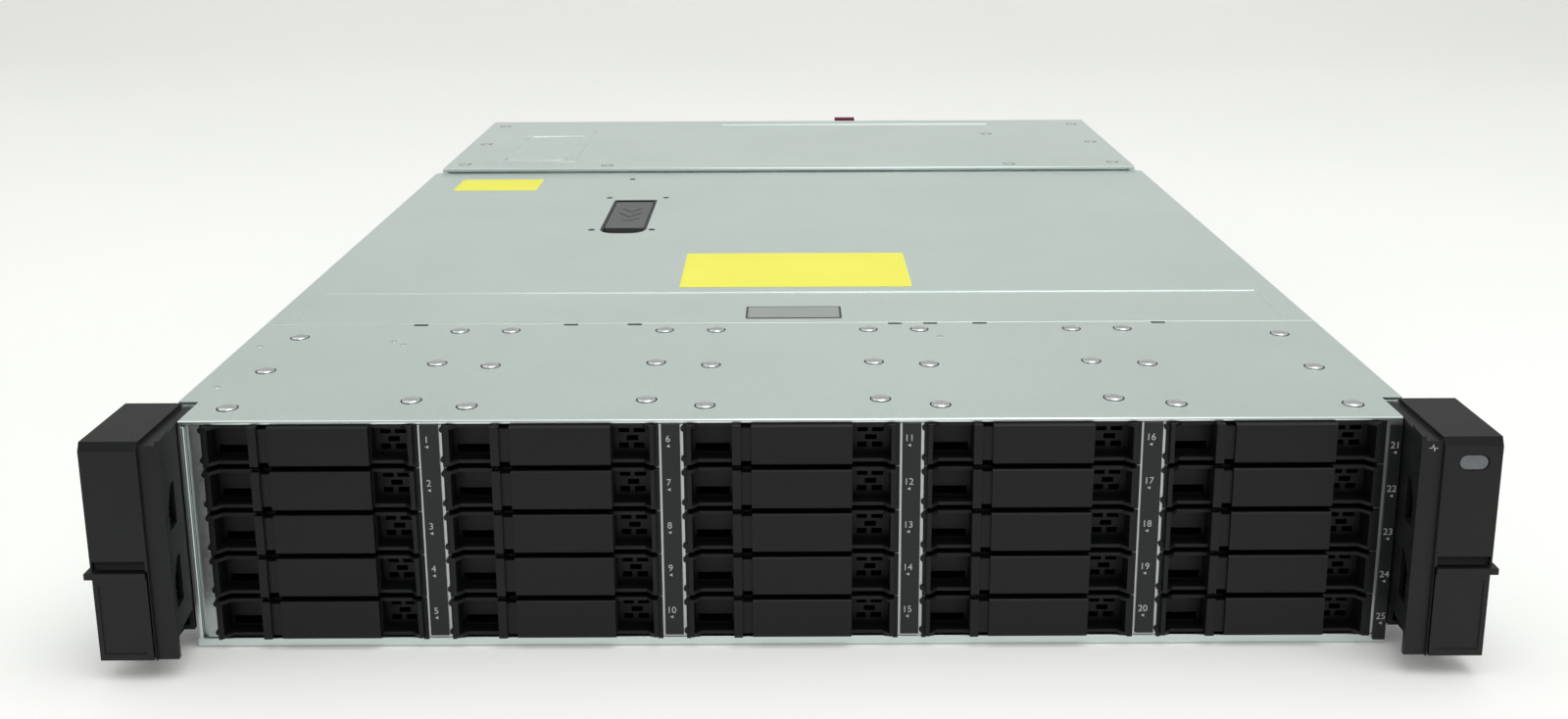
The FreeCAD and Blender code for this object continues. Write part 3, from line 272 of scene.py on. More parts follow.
def asMesh(piece, name):
    # The piece with its modifiers worked in, as a mesh of its own; the piece goes
    graph = bpy.context.evaluated_depsgraph_get()
    mesh = bpy.data.meshes.new_from_object(piece.evaluated_get(graph))
    mesh.name = name
    bpy.data.objects.remove(piece)
    return mesh


softLook = {"merge": 0.01, "flat": 1.2, "angle": 35}  # mm, degrees, degrees


def softened(source, width, segments=2, angle=softLook["angle"]):
    # A copy of a mesh with merged flats and rounded corners, width in mm
    work = bmesh.new()
    work.from_mesh(source)
    bmesh.ops.remove_doubles(work, verts=work.verts, dist=softLook["merge"] * mm)
    bmesh.ops.dissolve_limit(work, angle_limit=math.radians(softLook["flat"]),
                             verts=work.verts, edges=work.edges)
    holder = placed(bpy.data.objects.new("softHolder", meshFrom(work, "softCopy")))
    bevel = holder.modifiers.new("round", "BEVEL")
    bevel.width = width * mm
    bevel.segments = segments
    bevel.limit_method = "ANGLE"
    bevel.angle_limit = math.radians(angle)
    bevel.use_clamp_overlap = True
    bevel.harden_normals = True
    return asMesh(holder, "softCopy")


def standIn(node, mesh, material):
    # A piece that takes a node's place and rides its body
    piece = newPiece(node + ".look", mesh, frame["nodes"][node]["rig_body"], material)
    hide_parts(node)


def softNode(node, width, material, slot, segments=2):
    standIn(node, softened(frame["nodes"][node].data, width, segments), material)


def plainNode(node, material):
    source = frame["nodes"][node]
    source.data.materials.clear()
    source.data.materials.append(finish[material])


def boxesMesh(name, boxes):
    # Boxes between pairs of opposite corners in mm
    work = bmesh.new()
    for low, high in boxes:
        corners = [work.verts.new(at(x, y, z)) for z in (low[2], high[2])
                   for y in (low[1], high[1]) for x in (low[0], high[0])]
        for face in ((0, 2, 3, 1), (4, 5, 7, 6), (0, 1, 5, 4), (2, 6, 7, 3), (0, 4, 6, 2),
                     (1, 3, 7, 5)):
            work.faces.new([corners[i] for i in face])
    return meshFrom(work, name, True)


def prismInto(work, first, second):
    # A solid between two outlines of as many points
    rings = [[work.verts.new(point) for point in ring] for ring in (first, second)]
    work.faces.new(rings[0])
    work.faces.new(list(reversed(rings[1])))
    for i in range(len(first)):
        j = (i + 1) % len(first)
        work.faces.new([rings[0][j], rings[0][i], rings[1][i], rings[1][j]])


def joinedMesh(name, meshes):
    # Meshes put together as one, the single ones go
    work = bmesh.new()
    for mesh in meshes:
        work.from_mesh(mesh)
        bpy.data.meshes.remove(mesh)
    return meshFrom(work, name)


def cutThrough(mesh, cutter):
    # A mesh less the solids of another
    pair = [placed(bpy.data.objects.new("cutPair", data)) for data in (mesh, cutter)]
    modifier = pair[0].modifiers.new("cut", "BOOLEAN")
    modifier.operation = "DIFFERENCE"
    modifier.solver = "EXACT"
    modifier.object = pair[1]
    result = asMesh(pair[0], "cutCopy")
    bpy.data.objects.remove(pair[1])
    return result


def lozengeMesh(name, x, z, reach, rise, front, back):
    # A bar with round ends along X, from front to back in Y, sizes in mm
    outline = []
    for middle, start in ((x + reach - rise, -90), (x - reach + rise, 90)):
        for angle in range(start, start + 181, 15):
            a = math.radians(angle)
            outline.append((middle + rise * math.cos(a), z + rise * math.sin(a)))
    work = bmesh.new()
    prismInto(work, *([at(across, y, up) for across, up in outline] for y in (front, back)))
    return meshFrom(work, name, True)


def roundedOutline(low, high, corner, steps):
    # A rectangle with round corners, each an arc of so many steps, sizes in mm
    outline = []
    for cx, cy, start in ((high[0] - corner, high[1] - corner, 0),
                          (low[0] + corner, high[1] - corner, 90),
                          (low[0] + corner, low[1] + corner, 180),
                          (high[0] - corner, low[1] + corner, 270)):
        for step in range(steps + 1):
            angle = math.radians(start + step * 90 / steps)
            outline.append((cx + corner * math.cos(angle), cy + corner * math.sin(angle)))
    return outline


# Sheet metal: each node's edge rounding in mm and its finish
sheetLook = {"base_pan": (0.3, "galvanisedSheet"), "front_cover": (0.45, "galvanisedSheet"),
             "rear_cover": (0.5, "galvanisedSheet"), "access_panel": (0.4, "galvanisedSheet"),
             "cage_walls": (0.25, "rolledSteel"), "ear_brackets": (0.3, "rolledSteel"),
             "rear_module_frame": (0.25, "rolledSteel")}
for node, (width, material) in sheetLook.items():
    softNode(node, width, material, "bare_steel")

# The bright front edge of the wall beside the first column of bays
wallEdge = {"low": (-216.4, 0.05, 2.2), "high": (-214.4, 1.95, 85.3), "soft": 0.5}
edge = boxesMesh("leftWallEdge", [(wallEdge["low"], wallEdge["high"])])
newPiece("leftWallEdge", softened(edge, wallEdge["soft"]), "chassis", "galvanisedSheet")
print("sheet metal dressed")

# Drive blanks: one moulding with its slots cut through, then copied to the 25 bays.
# A slot is left and right from the vent's left side, low and high as parts of the height.
# beforeLast is how many bays come before the last column, whose flanges reach further.
blankLook = {"soft": 0.22, "width": 74, "height": 14.7, "ventLeft": 58.6,
             "slotFront": 5, "slotBack": 14,
             "slots": [(2.1, 0.63, 5.8, 0.73), (7.4, 0.63, 11.5, 0.73),
                       (2.1, 0.22, 5.5, 0.36), (7.4, 0.22, 11.2, 0.36),
                       (-55.9, 0.13, -43.6, 0.34)],
             "leftReach": 1.25, "rightReach": 1.55, "endReach": 2.55, "overlap": 0.3,
             "below": 1.3, "above": 0.3, "flangeFront": -0.45, "flangeBack": -0.05,
             "flangeSoft": 0.12, "lobe": 1.15, "lobeFront": -0.7, "lowLobe": 3,
             "highLobe": 2, "highlightTabLow": (16.4, -0.2, 13.9), "highlightTabHigh": (18.9, 0.8, 14.72),
             "highlightTabSoft": 0.3, "count": 25, "beforeLast": 20}
blankNodes = [f"drive_blank_{number + 1:02d}" for number in range(blankLook["count"])]
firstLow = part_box(blankNodes[0])[0]
blankX, blankZ = firstLow.x / mm, firstLow.z / mm
ventX = blankX + blankLook["ventLeft"]
slots = [((ventX + left, blankLook["slotFront"], blankZ + blankLook["height"] * low),
          (ventX + right, blankLook["slotBack"], blankZ + blankLook["height"] * high))
         for left, low, right, high in blankLook["slots"]]
firstMesh = cutThrough(frame["nodes"][blankNodes[0]].data, boxesMesh("slots", slots))
firstMesh = softened(firstMesh, blankLook["soft"])


def withFlanges(mesh, rightReach):
    # Thin side flanges in front of the cage webs, the left one with two round lobes
    low = blankZ - blankLook["below"]
    high = blankZ + blankLook["height"] + blankLook["above"]
    left = blankX - blankLook["leftReach"]
    right = blankX + blankLook["width"]
    front, back = blankLook["flangeFront"], blankLook["flangeBack"]
    overlap, lobe = blankLook["overlap"], blankLook["lobe"]
    extra = [boxesMesh("flanges", [((left, front, low), (blankX + overlap, back, high)),
                                   ((right - overlap, front, low),
                                    (right + rightReach, back, high))])]
    extra += [lozengeMesh("lobe", left + overlap, level, lobe, lobe, blankLook["lobeFront"],
                          back)
              for level in (low + blankLook["lowLobe"], high - blankLook["highLobe"])]
    rounded = [softened(one, blankLook["flangeSoft"], 1) for one in extra]
    return joinedMesh("flangedBlank", [mesh.copy()] + rounded)


middleBlank = withFlanges(firstMesh, blankLook["rightReach"])
endBlank = withFlanges(firstMesh, blankLook["endReach"])
# The small raised tab on each latch bar is lighter grey: a painted highlight for the bar's
# bright top edge
highlightTabCorners = [tuple(start + size for start, size in zip((blankX, 0, blankZ), blankLook[key]))
                for key in ("highlightTabLow", "highlightTabHigh")]
highlightTabMesh = softened(boxesMesh("highlightTabBox", [highlightTabCorners]), blankLook["highlightTabSoft"])
for number, node in enumerate(blankNodes, 1):
    shift = Matrix.Translation(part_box(node)[0] - firstLow)
    mesh = (endBlank if number > blankLook["beforeLast"] else middleBlank).copy()
    mesh.transform(shift)
    standIn(node, mesh, "mouldedBlackAbs")
    highlightTab = highlightTabMesh.copy()
    highlightTab.transform(shift)
    newPiece(node + ".catch", highlightTab, node, "tabHighlightGrey")
print("blanks dressed")

# Ears: shells with a scoop behind the lever's ledge, painted shade behind the windows, and
# teeth in the windows
earLook = {"soft": 0.5, "leverSoft": 0.6, "screwSoft": 0.3, "segments": 3,
           "scoop": {"radius": 3.6, "ends": (222.4, 240.6), "y": -24.9, "z": 42.4},
           "lens": {"x": 231.7, "z": 79.7, "reach": 4.9, "rise": 2.6, "front": -22.9,
                    "back": -16, "soft": 0.5, "segments": 4, "angle": 50},
           "hole": {"room": 0.3, "front": -26, "back": -18},
           "windowShade": {"x": 219.3, "half": 0.2, "front": -18, "back": -1, "low": 20,
                     "high": 72},
           "windows": ((-17.5, 54), (-18, 25)),  # front and low of each, on the shell's side
           "wall": {"x": 214.0, "front": -21.5, "lean": 2.8 / 21.2},  # leans out to the rear
           "teeth": {"count": 4, "first": 1.2, "pitch": 2.4, "height": 1.1, "depth": 1.5,
                     "inner": 0.2, "outer": 1.4, "soft": 0.25}}


def mirrored(mesh):
    # The other hand of a mesh, across the middle plane
    work = bmesh.new()
    work.from_mesh(mesh)
    bmesh.ops.scale(work, vec=(-1, 1, 1), verts=work.verts)
    bmesh.ops.reverse_faces(work, faces=work.faces)
    return meshFrom(work, mesh.name + "Other")


def earTeeth(hand):
    # Short ribs in the windows, corners put in order for the left hand
    wall, tooth, boxes = earLook["wall"], earLook["teeth"], []
    for front, low in earLook["windows"]:
        x = wall["x"] + (front - wall["front"]) * wall["lean"]
        for step in range(tooth["count"]):
            z = low + tooth["first"] + step * tooth["pitch"]
            sides = sorted((hand * (x + tooth["inner"]), hand * (x + tooth["outer"])))
            boxes.append(((sides[0], front - tooth["inner"], z),
                          (sides[1], front + tooth["depth"], z + tooth["height"])))
    return softened(boxesMesh("earTeeth", boxes), tooth["soft"])


scoopLook, lensLook, holeLook = earLook["scoop"], earLook["lens"], earLook["hole"]
radius = scoopLook["radius"]
scoop = lozengeMesh("scoop", 0, 0, radius, radius - 0.001, *scoopLook["ends"])
scoop.transform(Matrix.Translation(at(0, scoopLook["y"], scoopLook["z"])) @ quarterTurn("Z")
                @ Matrix.Translation(-at(0, 0, 0)))
leftShell = softened(frame["nodes"]["left_ear_shell"].data, earLook["soft"],
                     earLook["segments"])
leftShell = cutThrough(leftShell, scoop)
lensHole = lozengeMesh("lensHole", lensLook["x"], lensLook["z"],
                       lensLook["reach"] + holeLook["room"],
                       lensLook["rise"] + holeLook["room"], holeLook["front"],
                       holeLook["back"])
rightShell = cutThrough(mirrored(leftShell), lensHole)
windowShade = earLook["windowShade"]
for side, hand, mesh in (("left", -1, leftShell), ("right", 1, rightShell)):
    standIn(side + "_ear_shell", mesh, "texturedBlackAbs")
    softNode(side + "_ear_lever", earLook["leverSoft"], "texturedBlackAbs",
             "black_moulding", earLook["segments"])
    softNode(side + "_rack_screw", earLook["screwSoft"], "zincPlatedSteel", "screw_steel")
    x = hand * windowShade["x"]
    # A dark sheet behind each side window: painted shade for the hollow inside the ear
    newPiece(side + "EarWindowShade",
             boxesMesh("earWindowShade", [((x - windowShade["half"], windowShade["front"], windowShade["low"]),
                                     (x + windowShade["half"], windowShade["back"], windowShade["high"]))]),
             "chassis", "paintedShadeBlack")
    newPiece(side + "EarTeeth", earTeeth(hand), "chassis", "texturedBlackAbs")
lens = lozengeMesh("lens", lensLook["x"], lensLook["z"], lensLook["reach"],
                   lensLook["rise"], lensLook["front"], lensLook["back"])
lens = softened(lens, lensLook["soft"], lensLook["segments"], lensLook["angle"])
standIn("status_button", lens, "frostedPolycarbonate")

# On the right ear: the pulse mark, and painted shade along the groove round the lever's inset
# panel
pulseLook = {"x": 218.1, "y": -21.56, "z": 84.5, "size": 1.5, "halfWidth": 0.14,
             "steps": [(-1, 0), (-0.35, 0), (-0.05, 0.9), (0.2, -0.8), (0.4, 0), (1, 0)]}
grooveShadeLook = {"low": (224.6, 10.0), "high": (239.5, 36.4), "corner": 2, "width": 0.45,
             "front": -22.34, "back": -22.1, "steps": 6}


def pulseMesh():
    # A short line, a spike up, a spike down and a line, flat on the inner strip
    place = Vector((pulseLook["x"], 0, pulseLook["z"]))
    knots = [place + Vector((x, 0, z)) * pulseLook["size"] for x, z in pulseLook["steps"]]
    work = bmesh.new()
    for start, end in zip(knots, knots[1:]):
        run = end - start
        side = Vector((-run.z, 0, run.x)).normalized() * pulseLook["halfWidth"]
        work.faces.new([work.verts.new(at(c.x, pulseLook["y"], c.z))
                        for c in (start - side, end - side, end + side, start + side)])
    return meshFrom(work, "pulseMark")


def grooveShadeMesh():
    # A thin dark rounded frame on the lever's face: painted shade for the groove round its
    # inset panel
    inset = grooveShadeLook["width"]
    outer = roundedOutline(grooveShadeLook["low"], grooveShadeLook["high"], grooveShadeLook["corner"],
                           grooveShadeLook["steps"])
    inner = roundedOutline([c + inset for c in grooveShadeLook["low"]],
                           [c - inset for c in grooveShadeLook["high"]],
                           grooveShadeLook["corner"] - inset, grooveShadeLook["steps"])
    front, back = grooveShadeLook["front"], grooveShadeLook["back"]
    work = bmesh.new()
    loops = [[work.verts.new(at(x, y, z)) for x, z in ring]
             for y, ring in ((front, outer), (front, inner), (back, inner), (back, outer))]
    for loop, after in zip(loops, loops[1:] + loops[:1]):
        for i in range(len(outer)):
            j = (i + 1) % len(outer)
            work.faces.new([loop[i], loop[j], after[j], after[i]])
    return meshFrom(work, "leverGrooveShade", True)


newPiece("leverGrooveShade", grooveShadeMesh(), "right_ear_lever", "paintedShadeBlack")
newPiece("pulseMark", pulseMesh(), "chassis", "screenPrintedInk")

# Mouldings, film and rear modules: edge rounding in mm, finish and slot of each node
nodeLook = {"latch_cup": (0.3, "mouldedDarkNylon", "dark_moulding"),
            "latch_handle": (0.3, "mouldedGreyNylon", "dark_moulding"),
            "bay_label_strips": (0.12, "blackPolyesterFilm", "label_black")}
for side in ("left", "right"):
    nodeLook[side + "_power_supply"] = (0.3, "moduleSheet", "module_case")
    nodeLook[side + "_supply_tab"] = (0.3, "mouldedBurgundyAbs", "release_red")
    nodeLook[side + "_fan_frame"] = (0.3, "mouldedDarkNylon", "dark_moulding")
    nodeLook[side + "_fan_rotor"] = (0.2, "mouldedDarkNylon", "dark_moulding")
for level in ("upper", "lower"):
    nodeLook[level + "_io_module"] = (0.3, "moduleSheet", "module_case")
    nodeLook[level + "_io_lever"] = (0.4, "mouldedBurgundyAbs", "release_red")
for node, look in nodeLook.items():
    softNode(node, *look)
for node in ("midplane_board", "module_backplane", "bridge_board"):
    plainNode(node, "lacqueredBoard")
for node in ("drive_connectors", "module_sockets"):
    plainNode(node, "mouldedDarkNylon")
print("modules dressed")

# Rivets on the lids: each column of the cage has a left and a right line of three
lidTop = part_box("front_cover")[1].z / mm
rearTop = 90.0  # the rear lid stands higher than the front one
rivetLook = {"radius": 3.4, "rise": 1.15, "rearRise": 0.6, "shadeRingRadius": 3.95,
             "shadeRingRise": 0.06, "dimpleRadius": 1.5, "dimpleRise": 0.35,
             "segments": 32, "bands": 16, "cutBelow": -0.02,
             "columns": {(-138.7, -52.5, 33.2, 118.6): (20, 61, 102),
                         (-117.1, -30.8, 54.6, 140): (14, 58, 102),
                         (-203.5, 203.5): (13, 53, 94)},
             "rear": ((-209, 441), (-209, 511), (-209, 581), (209, 441), (209, 511),
                      (209, 581), (-116.5, 436), (141.5, 436), (141, 543)),
             "dimples": ((-216.3, 82.6), (-215.7, 35.1), (62.3, 92.1), (203.8, 11.6),
                         (-163, 88), (-158, 84))}


def startTree(name, sizes, surface):
    # An empty tree that takes points, named sizes in metres and a finish
    tree = bpy.data.node_groups.new(name, "GeometryNodeTree")
    face = tree.interface
    face.new_socket("Geometry", in_out="INPUT", socket_type="NodeSocketGeometry")
    for size in sizes:
        face.new_socket(size, in_out="INPUT", socket_type="NodeSocketFloat")
    face.new_socket(surface, in_out="INPUT", socket_type="NodeSocketMaterial")
    face.new_socket("Geometry", in_out="OUTPUT", socket_type="NodeSocketGeometry")
    return tree, addNode(tree, "NodeGroupInput").outputs


def finishTree(tree, given, shape, surface):
    # The shape on every point, made real, smooth and coated
    spots = addNode(tree, "GeometryNodeInstanceOnPoints", None,
                    {"Points": given["Geometry"], "Instance": shape})
    whole = addNode(tree, "GeometryNodeRealizeInstances", None,
                    {"Geometry": spots.outputs["Instances"]})
    smooth = addNode(tree, "GeometryNodeSetShadeSmooth", None,
                     {"Geometry": whole.outputs["Geometry"]})
    coated = addNode(tree, "GeometryNodeSetMaterial", None,
                     {"Geometry": smooth.outputs["Geometry"], "Material": given[surface]})
    addNode(tree, "NodeGroupOutput", None, {"Geometry": coated.outputs["Geometry"]})
    return tree


def rivetTree():
    # Domed heads: the upper half of a ball, spread to the head's radius and rise
    tree, given = startTree("rivetHeads", ("Head radius", "Head rise"), "Sheet")
    ball = addNode(tree, "GeometryNodeMeshUVSphere", None,
                   {"Segments": rivetLook["segments"], "Rings": rivetLook["bands"],
                    "Radius": 1.0})
    spot = addNode(tree, "GeometryNodeInputPosition")
    split = addNode(tree, "ShaderNodeSeparateXYZ", None, {"Vector": spot.outputs["Position"]})
    below = addNode(tree, "FunctionNodeCompare", {"operation": "LESS_THAN"},
                    {"A": split.outputs["Z"], "B": rivetLook["cutBelow"]})
    cap = addNode(tree, "GeometryNodeDeleteGeometry", {"domain": "POINT"},
                  {"Geometry": ball.outputs["Mesh"], "Selection": below.outputs["Result"]})
    size = addNode(tree, "ShaderNodeCombineXYZ", None,
                   {"X": given["Head radius"], "Y": given["Head radius"],
                    "Z": given["Head rise"]})
    sized = addNode(tree, "GeometryNodeTransform", None,
                    {"Geometry": cap.outputs["Geometry"], "Scale": size.outputs["Vector"]})
    return finishTree(tree, given, sized.outputs["Geometry"], "Sheet")


def fromPoints(name, tree, points, body, material, sizes):
    # Runs a tree on a cloud of points and keeps the plain mesh it makes, sizes in mm
    cloud = bpy.data.meshes.new(name + "Points")
    cloud.from_pydata([at(*point) for point in points], [], [])
    holder = placed(bpy.data.objects.new(name + "Holder", cloud))
    modifier = holder.modifiers.new("make", "NODES")
    modifier.node_group = tree
    for item in tree.interface.items_tree:
        if item.in_out == "INPUT" and item.name in sizes:
            modifier[item.identifier] = sizes[item.name] * mm
        elif item.in_out == "INPUT" and item.socket_type == "NodeSocketMaterial":
            modifier[item.identifier] = finish[material]
    newPiece(name, asMesh(holder, name), body, material)


rivets = rivetTree()


def headsAt(name, points, level, material, radius, rise):
    fromPoints(name, rivets, [(x, y, level) for x, y in points], "chassis", material,
               {"Head radius": radius, "Head rise": rise})


frontPoints = [(x, y) for columns, rows in rivetLook["columns"].items()
               for x in columns for y in rows]
for name, points, level, rise in (
        ("frontRivets", frontPoints, lidTop, rivetLook["rise"]),
        ("rearRivets", rivetLook["rear"], rearTop, rivetLook["rearRise"])):
    headsAt(name, points, level, "zincPlatedSteel", rivetLook["radius"], rise)
    # Painted shadow under each rim: a low dark disc a little wider than the head
    headsAt(name + "ShadeRing", points, level, "paintedShadeBlack", rivetLook["shadeRingRadius"],
            rivetLook["shadeRingRise"])
headsAt("lidDimples", rivetLook["dimples"], lidTop, "zincPlatedSteel",
        rivetLook["dimpleRadius"], rivetLook["dimpleRise"])
print("rivets made")

# Bay numbers: middle and level of each column's first one, the last column sits lower
numberLook = {"capital": 2.5, "perCapital": 1.42, "thickness": 0.05, "rows": 5,
              "first": (-128.6, 80.6), "pitch": (85.4, 16.5), "lastColumn": (214.1, 77.1),
              "lift": 0.03, "marker": 1.2, "markerDrop": 2.8, "markerLift": 0.05}
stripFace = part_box("bay_label_strips")[0].y / mm + shelfMiddle


def numberMesh(text):
    curve = bpy.data.curves.new("bayNumber", "FONT")
    curve.body = text
    curve.size = numberLook["capital"] * numberLook["perCapital"] * mm
    curve.align_x = "CENTER"
    curve.extrude = numberLook["thickness"] * mm / 2
    return asMesh(placed(bpy.data.objects.new("numberHolder", curve)), "bayNumber")


work = bmesh.new()
for index in range(len(blankNodes)):
    column, row = divmod(index, numberLook["rows"])
    if index >= blankLook["beforeLast"]:
        middle, level = numberLook["lastColumn"]
    else:
        middle, level = numberLook["first"]
        middle += column * numberLook["pitch"][0]
    level -= row * numberLook["pitch"][1]
    mesh = numberMesh(str(index + 1))
    foot = at(middle, stripFace - numberLook["lift"], level - numberLook["capital"] / 2)
    mesh.transform(Matrix.Translation(foot) @ quarterTurn("X"))
    work.from_mesh(mesh)
    bpy.data.meshes.remove(mesh)
    half = numberLook["marker"] / 2  # the small arrow under the number
    level -= numberLook["markerDrop"]
    work.faces.new([work.verts.new(at(x, stripFace - numberLook["markerLift"], z))
                    for x, z in ((middle - half, level), (middle + half, level - half),
                                 (middle + half, level + half))])
newPiece("bayNumbers", meshFrom(work, "bayNumbers"), "chassis", "screenPrintedInk")
print("bay numbers made")


def roundedSheet(name, low, high, level, thickness, corner, steps=4):
    # A thin flat sheet with rounded corners, sizes in mm
    outline = roundedOutline(low, high, corner, steps)
    work = bmesh.new()
    prismInto(work, *([at(x, y, z) for x, y in outline]
                      for z in (level, level + thickness)))
    return meshFrom(work, name, True)


# Bare labels: corners, thickness, corner radius and finish; the plate lies in the band
labelLook = {"largeLabel": ((-51, 165.5), (57, 225.5), 0.12, 1.5, "printedYellowPaper"),
             "smallLabel": ((-202, 374), (-152, 405), 0.12, 1.2, "printedYellowPaper"),
             "plateBorder": ((-19, 118.7), (22.7, 136), 0.1, 1, "printedBorder"),
             "plateFace": ((-18, 119.7), (21.7, 135), 0.16, 0.7, "satinFoil")}
bandDepth = 0.4  # the pressed band lies this much lower than the panel
for name, (low, high, thickness, corner, material) in labelLook.items():
    level = lidTop - bandDepth if name.startswith("plate") else lidTop
    newPiece(name, roundedSheet(name, low, high, level, thickness, corner), "access_panel",
             material)
print("labels made")

# Latch: rounded front corners of the opening, painted shade for the slots round it, chevrons on
# the handle.
# Slots and strokes are placed across and along from the middle of the opening's front.
latchLook = {"middle": -89.1, "front": 268, "half": 12.4, "corner": 9, "lap": 0.1,
             "sheetLow": 1, "sheetHigh": 0.02, "slotRadius": 1.75, "slotCorner": 1.7,
             "slotThickness": 0.05,
             "slots": ((-16, 85), (17, 85), (-16.8, 8), (15.4, 8), (-8, 137)),
             "strokes": (((-5, 58), (0, 50)), ((0, 50), (5, 58)), ((-6, 48), (0, 38)),
                         ((0, 38), (6, 48)), ((-3, 30), (1, 30)), ((1, 30), (6, 35))),
             "strokeWidth": 1.0, "strokeSink": 0.02, "strokeThickness": 0.12}
latchSpot = Vector((latchLook["middle"], latchLook["front"], 0))
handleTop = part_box("latch_handle")[1].z / mm


def cornerMesh(name, hand):
    # Sheet left in one front corner of the opening, its inner edge an arc
    x, y = latchLook["middle"] + hand * latchLook["half"], latchLook["front"]
    reach, lap = latchLook["corner"], latchLook["lap"]
    outline = [(x + hand * lap, y - lap)]
    for angle in range(0, 91, 10):
        a = math.radians(angle)
        outline.append((x - hand * reach * (1 - math.sin(a)), y + reach * (1 - math.cos(a))))
    work = bmesh.new()
    prismInto(work, *([at(px, py, lidTop - depth) for px, py in outline]
                      for depth in (latchLook["sheetLow"], latchLook["sheetHigh"])))
    return meshFrom(work, name, True)


def strokesMesh():
    # Straight bars between pairs of points, flat on the handle
    low = handleTop - latchLook["strokeSink"]
    work = bmesh.new()
    for pair in latchLook["strokes"]:
        start, end = (latchSpot + Vector((*point, 0)) for point in pair)
        run = end - start
        side = Vector((-run.y, run.x, 0)).normalized() * latchLook["strokeWidth"] / 2
        prismInto(work, *([at(c.x, c.y, z)
                           for c in (start - side, end - side, end + side, start + side)]
                          for z in (low, low + latchLook["strokeThickness"])))
    return meshFrom(work, "latchChevrons", True)


for hand, name in ((-1, "latchCornerLeft"), (1, "latchCornerRight")):
    newPiece(name, cornerMesh(name, hand), "access_panel", "galvanisedSheet")
# Each slot is a thin dark sheet on the panel: painted shade for the opening
for number, (across, along) in enumerate(latchLook["slots"]):
    x, y, reach = latchSpot.x + across, latchSpot.y + along, latchLook["slotRadius"]
    newPiece(f"panelSlotShade{number}",
             roundedSheet("panelSlotShade", (x - reach, y - reach), (x + reach, y + reach), lidTop,
                          latchLook["slotThickness"], latchLook["slotCorner"]),
             "access_panel", "paintedShadeBlack")
newPiece("latchChevrons", strokesMesh(), frame["nodes"]["latch_handle"]["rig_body"],
         "mouldedDarkNylon")
print("latch dressed")

# Beads pressed in the rear lid: corners counted from the lid's front edge in Y
beadLook = {"outerBead": ((-198, 22), (-140, 130)), "innerBead": ((-185, 26), (-146, 111)),
            "corner": 8, "rise": 0.68, "radius": 1, "roundness": 4, "steps": 6}


def beadMesh(name, low, high):
    # A flattened tube along a rounded rectangle, half sunk in the sheet
    curve = bpy.data.curves.new(name, "CURVE")
    curve.dimensions = "3D"
    curve.bevel_depth = beadLook["radius"] * mm
    curve.bevel_resolution = beadLook["roundness"]
    outline = roundedOutline(low, high, beadLook["corner"], beadLook["steps"])
    spline = curve.splines.new("POLY")
    spline.points.add(len(outline) - 1)
    for point, (x, y) in zip(spline.points, outline):
        point.co = (*at(x, y, 0), 1)
    spline.use_cyclic_u = True
    mesh = asMesh(placed(bpy.data.objects.new("beadHolder", curve)), name)
    for vertex in mesh.vertices:
        vertex.co.z = rearTop * mm + vertex.co.z * beadLook["rise"]
    for face in mesh.polygons:
        face.use_smooth = True
    return mesh


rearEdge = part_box("rear_cover")[0].y / mm + shelfMiddle
for name in ("outerBead", "innerBead"):
    low, high = ((x, rearEdge + y) for x, y in beadLook[name])
    newPiece(name, beadMesh(name, low, high), "chassis", "galvanisedSheet")
print("rear lid dressed")

# Rear faces: wire guards and screws on the fans, painted shade at the ends of the ports and
# inlets.
# Inlet boxes count X from the supply's middle, port boxes give left, low, width and height.
rearLook = {"face": 600, "axisZ": 43, "rings": (19, 26, 33), "ringSides": 72,
            "wire": 0.8, "wireSides": 10, "wireLift": 0.3,
            "screwAcross": 37.2, "screwUp": 35.7, "screwRadius": 2.4, "screwSink": 0.2,
            "screwRise": 1.2, "screwSoft": 0.5,
            "inlets": (((-13.4, 584.1, 8.5), (13.4, 584.5, 28.3)),
                       ((-16.9, 594.1, 43.7), (16.9, 594.4, 77.5))),
            "moduleLow": {"upper": 43.8, "lower": 2.4}, "room": 0.1,
            "ports": ((-70, 7, 19, 10), (-38, 7, 19, 10), (-8, 7, 14, 11)),
            "portY": (586.1, 586.5),
            "vents": ((-80, 26, 14, 4), (-60, 26, 14, 4), (-40, 26, 14, 4), (-20, 26, 14, 4),
                      (0, 26, 14, 4)),
            "ventY": (594.1, 594.3)}


def guardTree():
    # A ring of wire about the Y axis, on each point
    tree, given = startTree("fanGuard", ("Ring radius", "Wire radius"), "Wire")
    ring = addNode(tree, "GeometryNodeCurvePrimitiveCircle", None,
                   {"Resolution": rearLook["ringSides"], "Radius": given["Ring radius"]})
    section = addNode(tree, "GeometryNodeCurvePrimitiveCircle", None,
                      {"Resolution": rearLook["wireSides"],
                       "Radius": given["Wire radius"]})
    wire = addNode(tree, "GeometryNodeCurveToMesh", None,
                   {"Curve": ring.outputs["Curve"],
                    "Profile Curve": section.outputs["Curve"]})
    upright = addNode(tree, "GeometryNodeTransform", None, {"Geometry": wire.outputs["Mesh"]})
    upright.inputs["Rotation"].default_value = (math.radians(90), 0, 0)
    return finishTree(tree, given, upright.outputs["Geometry"], "Wire")


def endBoxes(places, low, depth):
    # Thin dark boxes across the ends of pockets, a little smaller than each: painted shade
    room = rearLook["room"]
    return [((x + room, depth[0], low + z + room),
             (x + wide - room, depth[1], low + z + tall - room))
            for x, z, wide, tall in places]


